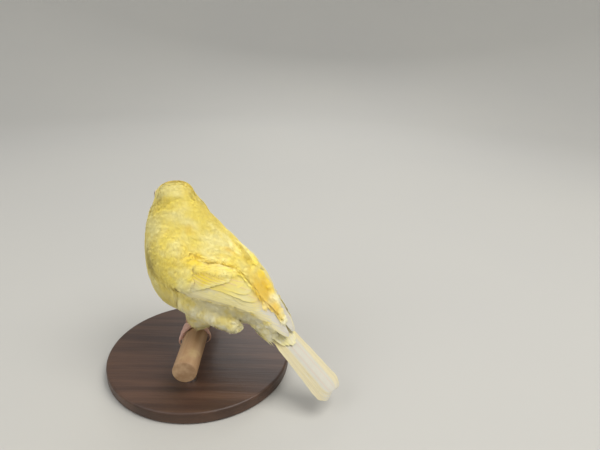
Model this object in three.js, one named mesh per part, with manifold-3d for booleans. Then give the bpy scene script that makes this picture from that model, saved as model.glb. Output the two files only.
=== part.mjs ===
// A life-size canary gripping a short length of dowel, on a plain display stand.
// Millimetres, +Z up. The origin is the centre of the base's underside, and the perch runs along Y.
import * as THREE from "three";
import { mergeVertices } from "three/addons/utils/BufferGeometryUtils.js";
import Module from "manifold-3d";

const wasm = await Module();
wasm.setup();

// Sizes, in millimetres and degrees
const gap = 0.3; // left between pieces that touch
const sliver = 0.07; // detail smaller than this is smoothed away after cuts and unions
const perch = { radius: 5.5, length: 72, chamfer: 0.6 };
const base = { radius: 46, height: 6, chamfer: 1.2, sides: 48 };
const rod = { radius: 2.2, spacing: 46, sides: 20 };
const tailClearance = 3; // between the tail's lowest tip and the top of the base
const bodyTurn = 28; // from square across the perch, with the head end away from the viewer
const headTurn = -40; // from the body's heading, towards the bird's right

// The body as sections across its spine, seen in the bird's own frame: x forward, y left, z up from the
// perch's axis. Rows run from the tail to the neck: x, z, tilt of the spine, half width, height of the
// back and depth of the belly from the spine. The first three only carry the wing tips over the tail.
const bodySections = [
  [-63, -3, 39, 7.6, 2.8, 2.2],
  [-55, 4.5, 39, 8.0, 3.6, 2.6],
  [-47.5, 12.5, 40, 8.2, 4.8, 4.0],
  [-40, 20, 42, 8.4, 6.2, 6.4],
  [-31.5, 25, 45, 11.6, 9.4, 17.5],
  [-21, 29.5, 48, 16.4, 14.4, 28.5],
  [-9.5, 33.5, 53, 19.3, 17.8, 33.5],
  [-0.5, 39.5, 60, 19.6, 18.6, 28.8],
  [6.0, 47.5, 67, 18.2, 17.6, 21.4],
  [8.6, 56, 75, 15.6, 15.4, 17.0],
  [9.8, 63, 81, 13.1, 13.0, 13.3],
  [10.0, 69.6, 86, 9.0, 8.8, 8.8],
];
const station = { tailRoot: 3, torsoTop: 8.65, neckTop: 9.95, skullCore: 10.9 };

// The head as sections along its own axis: distance forward, half width, height and depth
const headCentre = new THREE.Vector3(10.2, 0, 67.2);
const headNod = -4; // degrees that the bill points below level
const headSections = [
  [-9.6, 4.2, 3.4, 4.4],
  [-8.1, 6.7, 5.8, 7.0],
  [-4.9, 8.8, 8.0, 9.0],
  [-1.0, 9.6, 8.9, 10.0],
  [2.8, 9.1, 8.5, 9.7],
  [5.9, 7.5, 7.0, 8.2],
  [8.2, 5.5, 4.9, 6.2],
  [9.8, 3.9, 3.3, 4.5],
];
const eye = { radius: 2.3, forward: 4.3, height: 1.9, inset: 1.35, lidTube: 0.42 };
const bill = { length: 8.9, lowerLength: 8.2, halfWidth: 3.0, culmen: 3.1, depth: 2.7, drop: -0.5 };
const nostril = { radius: 0.42, forward: 1.1, height: 1.9 };

// Feather counts and sizes: [how many, half width at the widest]
const vaneThickness = 0.55;
const feathers = {
  primaries: { count: 7, halfWidth: 3.8 },
  secondaries: { count: 5, halfWidth: 3.9 },
  tertials: { count: 3, halfWidth: 4.2 },
  greaterCoverts: { count: 5, halfWidth: 3.2 },
  primaryCoverts: { count: 3, halfWidth: 1.7 },
  alula: { count: 1, halfWidth: 1.9 },
  tailPairs: 6,
  tailHalfWidth: 3.3,
};
const tail = { tilt: 39.5, roll: 14, length: 45.5, outerExtra: 2.4, spread: 4.9, coreLength: 10 };

const legs = {
  footSpacing: 8.5, // each foot's distance from the middle, along the perch
  toeRadius: 0.95,
  tarsusRadius: 1.05,
  ankleBack: 8.5,
  ankleHeight: 20,
};

const degrees = Math.PI / 180;
const up = new THREE.Vector3(0, 0, 1);
const vector = (x, y, z) => new THREE.Vector3(x, y, z);
const mix = THREE.MathUtils.lerp;
const smooth = (x) => THREE.MathUtils.smoothstep(x, 0, 1);
const range = (count) => Array.from({ length: count }, (_, i) => i);
const share = (i, count) => (count > 1 ? i / (count - 1) : 0);

// Solids

function solidOf(geometry) {
  const plain = geometry.clone();
  for (const name of Object.keys(plain.attributes)) {
    if (name !== "position") plain.deleteAttribute(name);
  }
  const merged = mergeVertices(plain, 1e-4);
  const corners = Uint32Array.from(merged.index.array);
  const build = () =>
    new wasm.Manifold(
      new wasm.Mesh({
        numProp: 3,
        vertProperties: Float32Array.from(merged.attributes.position.array),
        triVerts: corners,
      }),
    );
  const solid = build();
  if (solid.volume() > 0) return solid;
  for (let i = 0; i < corners.length; i += 3) {
    [corners[i + 1], corners[i + 2]] = [corners[i + 2], corners[i + 1]];
  }
  return build();
}

function solidFromFaces(points, faces) {
  const geometry = new THREE.BufferGeometry().setFromPoints(points);
  geometry.setIndex(faces.flat());
  return solidOf(geometry);
}

// A closed solid through rings of points, with a fan at each end
function loft(rings) {
  const sides = rings[0].length;
  const points = rings.flat();
  const faces = [];
  for (let r = 0; r + 1 < rings.length; r += 1) {
    for (let i = 0; i < sides; i += 1) {
      const a = r * sides + i;
      const b = r * sides + ((i + 1) % sides);
      faces.push([a, b, b + sides], [a, b + sides, a + sides]);
    }
  }
  for (const end of [0, rings.length - 1]) {
    const middle = points.length;
    const centre = vector(0, 0, 0);
    rings[end].forEach((p) => centre.addScaledVector(p, 1 / sides));
    points.push(centre);
    for (let i = 0; i < sides; i += 1) {
      const face = [end * sides + i, end * sides + ((i + 1) % sides), middle];
      faces.push(end === 0 ? [face[1], face[0], middle] : face);
    }
  }
  return solidFromFaces(points, faces);
}

// A round tube along a curve, whose radius changes with the share of its length
function tube(curve, radiusAt, steps, sides) {
  const frames = curve.computeFrenetFrames(steps, false);
  const rings = range(steps + 1).map((i) => {
    const centre = curve.getPointAt(i / steps);
    return range(sides).map((k) => {
      const turn = (2 * Math.PI * k) / sides;
      return centre
        .clone()
        .addScaledVector(frames.normals[i], Math.cos(turn) * radiusAt(i / steps))
        .addScaledVector(frames.binormals[i], Math.sin(turn) * radiusAt(i / steps));
    });
  });
  return loft(rings);
}

const joined = (solids) => solids.reduce((all, one) => all.add(one));

// The largest closed surface of a solid
function largest(solid) {
  return solid.decompose().reduce((a, b) => (b.volume() > a.volume() ? b : a));
}

// What lies on the side of a plane that its normal points to
const keepSide = (solid, point, normal) =>
  solid.trimByPlane(normal.toArray(), point.dot(normal));

function meshOf(name, solid, material) {
  const { vertProperties, triVerts, numProp } = largest(solid.simplify(sliver)).getMesh();
  const position = new Float32Array((vertProperties.length / numProp) * 3);
  for (let i = 0; i < position.length / 3; i += 1) {
    for (let k = 0; k < 3; k += 1) position[3 * i + k] = vertProperties[numProp * i + k];
  }
  const geometry = new THREE.BufferGeometry();
  geometry.setAttribute("position", new THREE.BufferAttribute(position, 3));
  geometry.setIndex(new THREE.BufferAttribute(triVerts, 1));
  geometry.computeVertexNormals();
  const mesh = new THREE.Mesh(geometry, material);
  mesh.name = name;
  return mesh;
}

const finish = (color, roughness, metalness = 0) =>
  new THREE.MeshStandardMaterial({ color, roughness, metalness });
const materials = {
  plumage: finish(0xf0dc6a, 0.85),
  flight: finish(0xefe6bd, 0.7),
  horn: finish(0xd8b09a, 0.45),
  skin: finish(0xcf9d8b, 0.6),
  eye: finish(0x0d0908, 0.08),
  dowel: finish(0xc79a66, 0.75),
  base: finish(0x4a3325, 0.5),
  steel: finish(0xa9abad, 0.35, 1),
};

// The body's surface

// A column of the section table at a fractional row, by Catmull-Rom
function sectionValue(rows, column, at) {
  const last = rows.length - 1;
  const i = THREE.MathUtils.clamp(Math.floor(at), 0, last - 1);
  const t = at - i;
  const [a, b, c, d] = [i - 1, i, i + 1, i + 2].map(
    (k) => rows[THREE.MathUtils.clamp(k, 0, last)][column],
  );
  return (
    b +
    0.5 * t * (c - a + t * (2 * a - 5 * b + 4 * c - d + t * (3 * (b - c) + d - a)))
  );
}

function bodySection(at) {
  const [x, z, tilt, halfWidth, back, belly] = range(6).map((k) =>
    sectionValue(bodySections, k, at),
  );
  const dorsal = vector(-Math.sin(tilt * degrees), 0, Math.cos(tilt * degrees));
  const spine = vector(Math.cos(tilt * degrees), 0, Math.sin(tilt * degrees));
  return { centre: vector(x, 0, z), dorsal, spine, halfWidth, back, belly };
}

// A point on the body, or lifted off it. Angles start at the middle of the back, and +90 is the left side.
function bodyPoint(at, angle, lift = 0) {
  const { centre, dorsal, halfWidth, back, belly } = bodySection(at);
  const cos = Math.cos(angle * degrees);
  const sin = Math.sin(angle * degrees);
  const depth = cos > 0 ? back : belly;
  const outward = vector(0, sin / halfWidth, 0).addScaledVector(dorsal, cos / depth).normalize();
  return centre
    .clone()
    .addScaledVector(dorsal, cos * depth)
    .add(vector(0, sin * halfWidth, 0))
    .addScaledVector(outward, lift);
}

function bodyLoft(from, to, steps, sides, lift = 0) {
  return loft(
    range(steps + 1).map((i) =>
      range(sides).map((k) =>
        bodyPoint(mix(from, to, i / steps), (360 * k) / sides, lift),
      ),
    ),
  );
}

const trunkLoft = (lift) => bodyLoft(station.tailRoot, station.skullCore, 18, 26, lift);

// Feathers

// A flat-bladed feather on a surface: place(t) gives each point of its shaft and the way out of the
// surface there. Both faces are split into triangles alike.
function vane(place, halfWidth, { steps = 5, roll = 0, thickness = vaneThickness, bluntness = 0.82 }) {
  const stops = range(steps + 1).map((i) => {
    const even = i / steps;
    return 1 - (1 - even) ** 1.35;
  });
  const points = [];
  stops.forEach((t) => {
    const step = 0.02;
    const here = place(t);
    const ahead = place(Math.min(t + step, 1)).point;
    const behind = place(Math.max(t - step, 0)).point;
    const along = ahead.clone().sub(behind).normalize();
    const across = here.out.clone().cross(along).normalize();
    const blade = across.clone().cross(along).multiplyScalar(-1).normalize();
    const tipward = Math.max(0, (t - bluntness) / (1 - bluntness));
    const width = halfWidth * mix(0.5, 1, smooth(t / 0.3)) * Math.sqrt(1 - 0.93 * tipward ** 2);
    const half = (thickness / 2) * mix(1, 0.7, t);
    for (const side of [-1, 1]) {
      for (const face of [-1, 1]) {
        points.push(
          here.point
            .clone()
            .addScaledVector(across, side * width)
            .addScaledVector(blade, side * roll * (width / halfWidth) + face * half),
        );
      }
    }
  });
  const faces = [];
  for (let i = 0; i < steps; i += 1) {
    const [lowL, topL, lowR, topR] = range(4).map((k) => 4 * i + k);
    faces.push([topL, topR, topR + 4], [topL, topR + 4, topL + 4]);
    faces.push([lowL, lowR + 4, lowR], [lowL, lowL + 4, lowR + 4]);
    faces.push([lowL, topL, topL + 4], [lowL, topL + 4, lowL + 4]);
    faces.push([lowR, topR + 4, topR], [lowR, lowR + 4, topR + 4]);
  }
  const end = 4 * steps;
  faces.push([0, 2, 3], [0, 3, 1], [end, end + 3, end + 2], [end, end + 1, end + 3]);
  return solidFromFaces(points, faces);
}

// A feather laid along the body from a root to a tip, each given as [station, angle], at a height
// above the body that runs from the root's to the tip's. bow holds the feather low before it closes in.
function bodyVane(side, root, tip, lifts, halfWidth, options) {
  const bow = options.bow ?? 1.6;
  const place = (t) => {
    const at = mix(root[0], tip[0], t);
    const angle = side * mix(root[1], tip[1], t ** bow);
    const lift = mix(lifts[0], lifts[1], t);
    const point = bodyPoint(at, angle, lift);
    const out = bodyPoint(at, angle, lift + 1).sub(point);
    return { point, out };
  };
  return vane(place, halfWidth, { ...options, roll: side * (options.roll ?? 0) });
}

// Wings

const wingCore = { at: 7.5, angle: 76, length: 1.6, spread: 33, inner: 0.6, height: 1.9 };

// The folded arm under its small coverts: a low dome on the body's side
function wingArm(side) {
  const rings = 4;
  const sides = 18;
  const rim = (r, k) => {
    const turn = (2 * Math.PI * k) / sides;
    return [
      wingCore.at + wingCore.length * r * Math.cos(turn),
      side * (wingCore.angle + wingCore.spread * r * Math.sin(turn)),
    ];
  };
  const layers = [];
  for (let i = 0; i <= rings; i += 1) {
    const r = Math.sin((i / rings) * (Math.PI / 2));
    const lift = wingCore.inner + 0.3 + wingCore.height * Math.sqrt(Math.max(0, 1 - r * r));
    layers.push(range(sides).map((k) => bodyPoint(...rim(Math.max(r, 0.04), k), lift)));
  }
  for (let i = rings; i >= 0; i -= 1) {
    const r = i / rings;
    layers.push(range(sides).map((k) => bodyPoint(...rim(Math.max(r, 0.04), k), wingCore.inner)));
  }
  return loft(layers);
}

// One row of feathers, from its outermost to its innermost
function wingRow(side, kind, from, to, roll) {
  const { count, halfWidth } = feathers[kind];
  return range(count).map((i) => {
    const f = share(i, count);
    const lifts = [mix(from.lift[0], to.lift[0], f), mix(from.lift[1], to.lift[1], f)];
    const root = [mix(from.root[0], to.root[0], f), mix(from.root[1], to.root[1], f)];
    const reach = from.reach ? from.reach(f) : mix(from.tip[0], to.tip[0], f);
    const tip = [reach, mix(from.tip[1], to.tip[1], f)];
    const options = { roll, bow: from.bow, steps: from.steps };
    return bodyVane(side, root, tip, lifts, halfWidth, options);
  });
}

function wing(side) {
  const primaries = wingRow(
    side,
    "primaries",
    {
      root: [8.4, 98],
      tip: [1.7, 12],
      lift: [1.0, 1.4],
      bow: 1.7,
      steps: 5,
      reach: (f) => 1.7 + 0.35 * Math.max(0, 0.25 - f) + 1.75 * Math.max(0, f - 0.3) ** 0.9,
    },
    { root: [7.7, 82], tip: [2.9, 24], lift: [1.4, 1.6] },
    -0.3,
  );
  const secondaries = wingRow(
    side,
    "secondaries",
    { root: [7.6, 80], tip: [3.3, 38], lift: [1.2, 1.7], bow: 1.5, steps: 4 },
    { root: [6.9, 58], tip: [3.8, 26], lift: [1.2, 1.7] },
    -0.3,
  );
  const tertials = wingRow(
    side,
    "tertials",
    { root: [6.9, 56], tip: [3.9, 28], lift: [1.4, 2.1], bow: 1.3, steps: 4 },
    { root: [6.5, 44], tip: [4.9, 24], lift: [1.6, 2.2] },
    -0.3,
  );
  const greaterCoverts = wingRow(
    side,
    "greaterCoverts",
    { root: [8.0, 86], tip: [5.8, 82], lift: [1.8, 2.4], bow: 1, steps: 3 },
    { root: [7.3, 50], tip: [5.3, 40], lift: [1.9, 2.8] },
    -0.35,
  );
  const primaryCoverts = wingRow(
    side,
    "primaryCoverts",
    { root: [8.6, 97], tip: [6.3, 96], lift: [1.7, 1.75], bow: 1, steps: 3 },
    { root: [8.3, 88], tip: [6.1, 86], lift: [2.2, 2.4] },
    -0.3,
  );
  const alula = wingRow(
    side,
    "alula",
    { root: [8.8, 97], tip: [7.4, 99], lift: [2.0, 2.3], bow: 1, steps: 3 },
    { root: [8.7, 92], tip: [7.1, 93], lift: [2.5, 2.9] },
    -0.3,
  );
  const room = trunkLoft(gap);
  return joined([
    wingArm(side),
    ...primaries,
    ...secondaries,
    ...tertials,
    ...greaterCoverts,
    ...primaryCoverts,
    ...alula,
  ]).subtract(room);
}

// Tail

const tailRoot = bodySection(station.tailRoot).centre;
const tailAxis = vector(-Math.cos(tail.tilt * degrees), 0, -Math.sin(tail.tilt * degrees));
const tailTop = vector(-Math.sin(tail.tilt * degrees), 0, Math.cos(tail.tilt * degrees));
const tailLeft = vector(0, 1, 0).applyAxisAngle(tailAxis, tail.roll * degrees);
tailTop.applyAxisAngle(tailAxis, tail.roll * degrees);
const tailPoint = (along, left, height) =>
  tailRoot
    .clone()
    .addScaledVector(tailAxis, along)
    .addScaledVector(tailTop, height)
    .addScaledVector(tailLeft, left);

// A feather of the tail from [along, left, height] to the same at its tip
function tailVane(root, tip, halfWidth, options) {
  const place = (t) => {
    const [along, left, height] = range(3).map((k) => mix(root[k], tip[k], t));
    return { point: tailPoint(along, left, height), out: tailTop };
  };
  return vane(place, halfWidth, options);
}

function tailFan() {
  const parts = [];
  // the fleshy root, flattened towards its end
  const coreRings = range(5).map((i) => {
    const t = i / 4;
    const halfWidth = mix(7.4, 3.4, t);
    const halfHeight = mix(5.2, 1.2, smooth(t));
    return range(16).map((k) => {
      const turn = (2 * Math.PI * k) / 16;
      const along = 2 * gap + tail.coreLength * t;
      return tailPoint(along, halfWidth * Math.sin(turn), halfHeight * Math.cos(turn));
    });
  });
  parts.push(loft(coreRings));
  for (const side of [-1, 1]) {
    for (let k = 0; k < feathers.tailPairs; k += 1) {
      const f = share(k, feathers.tailPairs);
      const over = side < 0 ? 0.17 : 0; // one of each pair lies over the other
      const root = [5, side * mix(0.7, 2.6, f), mix(0.6, -0.4, f) + over];
      const reach = tail.length + tail.outerExtra * f ** 1.5 - 2.2 * f ** 6;
      const tip = [reach, side * mix(0.9, tail.spread, f), mix(0.75, -1.0, f) + over];
      parts.push(tailVane(root, tip, feathers.tailHalfWidth, { steps: 4, bluntness: 0.9 }));
    }
  }
  // coverts over and under the root
  const upper = 4;
  for (let i = 0; i < upper; i += 1) {
    const f = 2 * share(i, upper) - 1;
    const lift = 0.2 * (i % 2);
    const root = [1.6, 4.4 * f, 3.2 - 1.5 * f * f + lift];
    const tip = [15 - 2.5 * Math.abs(f), 3.4 * f, 2.0 - 0.9 * f * f + lift];
    parts.push(tailVane(root, tip, 2.6, { steps: 3, bluntness: 0.6 }));
  }
  for (let i = 0; i < upper; i += 1) {
    const f = 2 * share(i, upper) - 1;
    const lift = -0.2 * (i % 2);
    const root = [1.6, 4.2 * f, -3.3 + 1.4 * f * f + lift];
    const tip = [23 - 4 * Math.abs(f), 2.6 * f, -2.0 + 0.5 * f * f + lift];
    parts.push(tailVane(root, tip, 2.7, { steps: 3, bluntness: 0.6 }));
  }
  return joined(parts);
}

// Head

const headForward = vector(1, 0, 0)
  .applyAxisAngle(vector(0, 1, 0), -headNod * degrees)
  .applyAxisAngle(up, headTurn * degrees);
const headLeft = up.clone().cross(headForward).normalize();
const headUp = headForward.clone().cross(headLeft).normalize();
const headPoint = (forward, left, height) =>
  headCentre
    .clone()
    .addScaledVector(headForward, forward)
    .addScaledVector(headLeft, left)
    .addScaledVector(headUp, height);

function skull() {
  const sides = 22;
  const steps = 11;
  const last = headSections.length - 1;
  return loft(
    range(steps + 1).map((i) => {
      const [forward, halfWidth, height, depth] = range(4).map((k) =>
        sectionValue(headSections, k, (last * i) / steps),
      );
      return range(sides).map((k) => {
        const turn = (2 * Math.PI * k) / sides;
        const rise = Math.cos(turn) > 0 ? height : depth;
        return headPoint(forward, halfWidth * Math.sin(turn), rise * Math.cos(turn));
      });
    }),
  );
}

function headHalfWidth(forward) {
  const last = headSections.length - 1;
  let at = 0;
  while (at < last && sectionValue(headSections, 0, at) < forward) at += 0.02;
  return sectionValue(headSections, 1, at);
}

const eyeCentre = (side) =>
  headPoint(eye.forward, side * (headHalfWidth(eye.forward) - eye.inset), eye.height);
const eyeOutward = (side) =>
  headPoint(eye.forward + 0.32, side, eye.height + 0.12)
    .sub(headPoint(eye.forward, 0, eye.height))
    .normalize();

function ball(radius, centre, segments = 14) {
  const geometry = new THREE.SphereGeometry(radius, segments, Math.round(segments * 0.6));
  geometry.translate(centre.x, centre.y, centre.z);
  return solidOf(geometry);
}

// The rim of bare lid that stands round an eye
function lid(side) {
  const geometry = new THREE.TorusGeometry(eye.radius - 0.1, eye.lidTube, 6, 14);
  const outward = eyeOutward(side);
  geometry.applyQuaternion(new THREE.Quaternion().setFromUnitVectors(up, outward));
  const centre = eyeCentre(side).addScaledVector(outward, eye.inset * 0.62);
  geometry.translate(centre.x, centre.y, centre.z);
  return solidOf(geometry);
}

const billBase = headSections[headSections.length - 1][0] + gap;

// One half of the bill: profile(t) gives how far it stands from the gape at each share of its length
function mandible(length, halfWidthAt, profileAt, direction) {
  const steps = 8;
  const sides = 12;
  const rings = range(steps + 1).map((i) => {
    const t = i / steps;
    const forward = billBase + length * t;
    const gape = bill.drop * t ** 2 + 0.35 * (1 - t) ** 3;
    const halfWidth = halfWidthAt(t);
    const rise = profileAt(t);
    return range(sides + 1).map((k) => {
      const turn = (Math.PI * k) / sides;
      const height = gape + direction * (gap / 2 + rise * Math.sin(turn));
      return headPoint(forward, halfWidth * Math.cos(turn), height - 0.3);
    });
  });
  return loft(rings);
}

const tapered = (from, power) => (t) => from * (1 - t ** power) + 0.12;

function upperBill() {
  const whole = mandible(bill.length, tapered(bill.halfWidth, 1.25), tapered(bill.culmen, 1.75), 1);
  return [-1, 1].reduce((solid, side) => {
    const place = headPoint(billBase + nostril.forward, side * 1.75, nostril.height);
    return solid.subtract(ball(nostril.radius, place, 8));
  }, whole);
}

const lowerBill = () =>
  mandible(bill.lowerLength, tapered(bill.halfWidth - 0.25, 1.3), tapered(bill.depth, 1.5), -1);

// Legs and feet. Toes wrap the perch square across it, while the bird stands turned on it.

const birdTurn = (180 - bodyTurn) * degrees;
const fromPerch = (x, y, z) => vector(x, y, z).applyAxisAngle(up, -birdTurn);
const toeRing = perch.radius + gap + legs.toeRadius;
// A point round the perch: angle from its top, positive towards the front of the bird
const gripPoint = (angle, y, radius = toeRing) =>
  fromPerch(-radius * Math.sin(angle * degrees), y, radius * Math.cos(angle * degrees));

// Each toe: how far round it reaches, how far along the perch it strays, and its claw's reach
const toes = [
  { name: "inner", reach: 78, stray: 4.2, from: 10, claw: 42 },
  { name: "middle", reach: 108, stray: 0.4, from: 10, claw: 44 },
  { name: "outer", reach: 84, stray: -3.8, from: 10, claw: 42 },
  { name: "hind", reach: -74, stray: 0.3, from: -10, claw: -50 },
];

function toe(side, { reach, stray, from }) {
  const y = -side * legs.footSpacing;
  const stops = range(8).map((i) => i / 7);
  const curve = new THREE.CatmullRomCurve3(
    stops.map((t) => gripPoint(mix(from * 0.2, reach, t), y + side * stray * smooth(t * 1.2))),
  );
  const knuckles = (t) => legs.toeRadius * (1 + 0.09 * Math.cos(6 * Math.PI * t)) * mix(1, 0.8, t);
  return tube(curve, knuckles, 7, 6);
}

function claw(side, { reach, stray, claw: clawReach }) {
  const y = -side * legs.footSpacing + side * stray;
  const start = reach + Math.sign(reach) * 4.5;
  const tipRing = perch.radius + gap + 0.12;
  const curve = new THREE.CatmullRomCurve3(
    range(5).map((i) => {
      const t = i / 4;
      const ring = mix(toeRing + 0.15, tipRing, t) + 0.7 * Math.sin(Math.PI * t);
      return gripPoint(start + clawReach * t, y, ring);
    }),
  );
  return tube(curve, (t) => mix(0.62, 0.1, t ** 0.8), 5, 6);
}

const footTop = (side) => gripPoint(0, -side * legs.footSpacing, toeRing + 0.55);

function foot(side) {
  const pad = ball(1.5, gripPoint(0, -side * legs.footSpacing, toeRing + 0.6), 12);
  return joined([pad, ...toes.map((t) => toe(side, t))]);
}

const ankle = (side) =>
  footTop(side).add(vector(-legs.ankleBack, side * 1.0, legs.ankleHeight - toeRing));

function shankCurve(side) {
  const bottom = footTop(side).add(vector(0, 0, 2 + gap));
  return new THREE.CatmullRomCurve3([
    bottom,
    footTop(side).lerp(ankle(side), 0.45).add(vector(-0.3, 0, 0.4)),
    ankle(side),
  ]);
}

const shank = (side) => tube(shankCurve(side), (t) => mix(legs.tarsusRadius, 1.25, t * t), 6, 9);

// The hollow that a shank and the top of its foot stand in
function legRoom(side) {
  const room = ball(1.7 + gap, gripPoint(0, -side * legs.footSpacing, toeRing + 0.6), 12);
  const socket = ball(1.3 + gap, ankle(side), 12);
  return joined([room, socket, tube(shankCurve(side), () => 1.35 + gap, 6, 12)]);
}

// The feathered leg above the shank, with the long flank feathers that hang behind it
const thigh = { top: [-9, 11, 25], topRadius: 9, middleRadius: 8.8, bottomRadius: 5.2, low: 9.8, back: 1.4 };
const flank = { vanes: 6, halfWidth: 3.1, bulge: 0.9, reachLeft: 41, reachRight: 36 };

function feathered(side) {
  const hip = vector(thigh.top[0], side * thigh.top[1], thigh.top[2]);
  const knee = ankle(side).lerp(hip, 0.35);
  const low = footTop(side).add(vector(-thigh.back, side * 0.6, 0));
  low.z = thigh.low;
  const curve = new THREE.CatmullRomCurve3([hip, knee, low]);
  const radiusAt = (t) =>
    t < 0.6
      ? mix(thigh.topRadius, thigh.middleRadius, t / 0.6)
      : mix(thigh.middleRadius, thigh.bottomRadius, smooth((t - 0.6) / 0.4));
  const parts = [tube(curve, radiusAt, 6, 13)];
  for (let i = 0; i < flank.vanes; i += 1) {
    const f = share(i, flank.vanes);
    const reach = mix(-(side > 0 ? flank.reachLeft : flank.reachRight), -21, f ** 1.8);
    const root = vector(mix(-16, -5, f), side * mix(17.5, 9.5, f), mix(26, 13.5, f));
    const tip = vector(reach, side * mix(14.5, 10.5, f), mix(21, 11, f ** 0.8));
    const out = vector(-0.35, side * 0.9, -0.3).normalize();
    const place = (t) => ({
      point: root.clone().lerp(tip, t).addScaledVector(out, flank.bulge * Math.sin(Math.PI * t)),
      out,
    });
    parts.push(vane(place, flank.halfWidth, { steps: 3, roll: side * 0.3, bluntness: 0.45 }));
  }
  const core = new THREE.CatmullRomCurve3([
    vector(-3, side * 13, 26),
    vector(-17, side * 14, 21.5),
    vector(-34, side * 13, 18),
  ]);
  parts.push(tube(core, (t) => mix(7.5, 2.2, t ** 1.2), 6, 11));
  const torsoRoom = trunkLoft(gap);
  return joined(parts).subtract(torsoRoom).subtract(legRoom(side));
}

// The whole bird, parted by thin cuts

function makeBird() {
  const group = new THREE.Group();
  const put = (name, solid, material) => group.add(meshOf(name, solid, material));

  const trunk = trunkLoft(0);
  const head = skull();
  const whole = trunk.add(head).add(lid(1)).add(lid(-1));
  const cutAt = (at) => {
    const { centre, spine } = bodySection(at);
    return {
      above: (solid) => keepSide(solid, centre.clone().addScaledVector(spine, gap / 2), spine),
      below: (solid) =>
        keepSide(solid, centre.clone().addScaledVector(spine, -gap / 2), spine.clone().negate()),
    };
  };
  const shoulders = cutAt(station.torsoTop);
  const throat = cutAt(station.neckTop);
  const belly = shoulders.below(trunk).subtract(legRoom(1)).subtract(legRoom(-1));
  put("torso", belly, materials.plumage);
  put("neck", throat.below(shoulders.above(whole)), materials.plumage);
  const inFront = (solid) => keepSide(solid, headPoint(billBase, 0, 0), headForward);
  const face = headPoint(billBase - gap, 0, 0);
  const faceCut = (solid) => keepSide(solid, face, headForward.clone().negate());
  const sockets = [1, -1].map((side) => ball(eye.radius + gap, eyeCentre(side)));
  put("head", faceCut(throat.above(whole)).subtract(joined(sockets)), materials.plumage);
  put("bill_upper", inFront(upperBill()), materials.horn);
  put("bill_lower", inFront(lowerBill()), materials.horn);
  put("tail", tailFan(), materials.flight);
  for (const [side, label] of [
    [1, "left"],
    [-1, "right"],
  ]) {
    put(`eye_${label}`, ball(eye.radius, eyeCentre(side)), materials.eye);
    put(`wing_${label}`, wing(side), materials.flight);
    put(`thigh_${label}`, feathered(side), materials.plumage);
    put(`shank_${label}`, shank(side), materials.skin);
    put(`foot_${label}`, foot(side), materials.skin);
    toes.forEach((t) => put(`claw_${label}_${t.name}`, claw(side, t), materials.horn));
  }
  return group;
}

// The stand

// A turned solid about the Z axis, from its outline of [radius, height]
function turned(outline, sides) {
  const geometry = new THREE.LatheGeometry(
    outline.map(([r, z]) => new THREE.Vector2(r, z)),
    sides,
  );
  return solidOf(geometry.rotateX(Math.PI / 2));
}

function makeStand(perchHeight) {
  const group = new THREE.Group();
  const { radius, height, chamfer, sides } = base;
  const baseOutline = [
    [0, 0],
    [radius - chamfer / 2, 0],
    [radius, chamfer / 2],
    [radius, height - chamfer],
    [radius - chamfer, height],
    [0, height],
  ];
  group.add(meshOf("stand_base", turned(baseOutline, sides), materials.base));

  const half = perch.length / 2;
  const dowelOutline = [
    [0, -half],
    [perch.radius - perch.chamfer, -half],
    [perch.radius, -half + perch.chamfer],
    [perch.radius, half - perch.chamfer],
    [perch.radius - perch.chamfer, half],
    [0, half],
  ];
  const dowel = meshOf("perch", turned(dowelOutline, 32), materials.dowel);
  dowel.rotation.x = Math.PI / 2;
  dowel.position.z = perchHeight;
  group.add(dowel);

  const dowelRoom = turned(
    [
      [0, -half],
      [perch.radius + gap, -half],
      [perch.radius + gap, half],
      [0, half],
    ],
    32,
  ).rotate([90, 0, 0]);
  for (const [label, y] of [
    ["front", -rod.spacing / 2],
    ["back", rod.spacing / 2],
  ]) {
    const bottom = height + gap;
    const post = turned(
      [
        [0, bottom],
        [rod.radius, bottom],
        [rod.radius, perchHeight],
        [0, perchHeight],
      ],
      rod.sides,
    ).translate([0, y, 0]);
    const cut = post.subtract(dowelRoom.translate([0, 0, perchHeight]));
    group.add(meshOf(`stand_rod_${label}`, cut, materials.steel));
  }
  return group;
}

const bird = makeBird();
const tailBox = new THREE.Box3().setFromObject(bird.getObjectByName("tail"));
const perchHeight = base.height + tailClearance - tailBox.min.z;
bird.position.z = perchHeight;
bird.rotation.z = birdTurn;

const canary = new THREE.Group();
canary.add(bird, makeStand(perchHeight));

export default canary;
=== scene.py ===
import math
import bpy
import numpy as np
from mathutils import Matrix, Vector
from mathutils.bvhtree import BVHTree


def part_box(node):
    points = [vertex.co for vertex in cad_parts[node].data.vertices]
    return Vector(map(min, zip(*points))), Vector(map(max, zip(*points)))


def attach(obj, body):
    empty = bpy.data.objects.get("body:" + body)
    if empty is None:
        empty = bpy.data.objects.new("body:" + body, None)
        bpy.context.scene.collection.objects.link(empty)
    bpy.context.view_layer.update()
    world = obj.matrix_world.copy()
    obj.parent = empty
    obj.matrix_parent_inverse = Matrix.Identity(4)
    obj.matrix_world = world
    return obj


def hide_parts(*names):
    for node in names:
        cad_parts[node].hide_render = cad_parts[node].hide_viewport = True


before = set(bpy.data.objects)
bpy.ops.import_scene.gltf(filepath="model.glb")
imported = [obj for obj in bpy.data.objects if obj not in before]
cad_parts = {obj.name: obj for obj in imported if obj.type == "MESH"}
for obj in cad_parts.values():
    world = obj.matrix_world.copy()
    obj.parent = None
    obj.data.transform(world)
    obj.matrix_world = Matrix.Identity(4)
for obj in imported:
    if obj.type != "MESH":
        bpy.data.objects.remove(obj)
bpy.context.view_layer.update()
perchLow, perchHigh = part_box("perch")
perchHeight = (perchLow.z + perchHigh.z) / 2
rng = np.random.default_rng(11)
sides = [(1, "left"), (-1, "right")]

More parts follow.
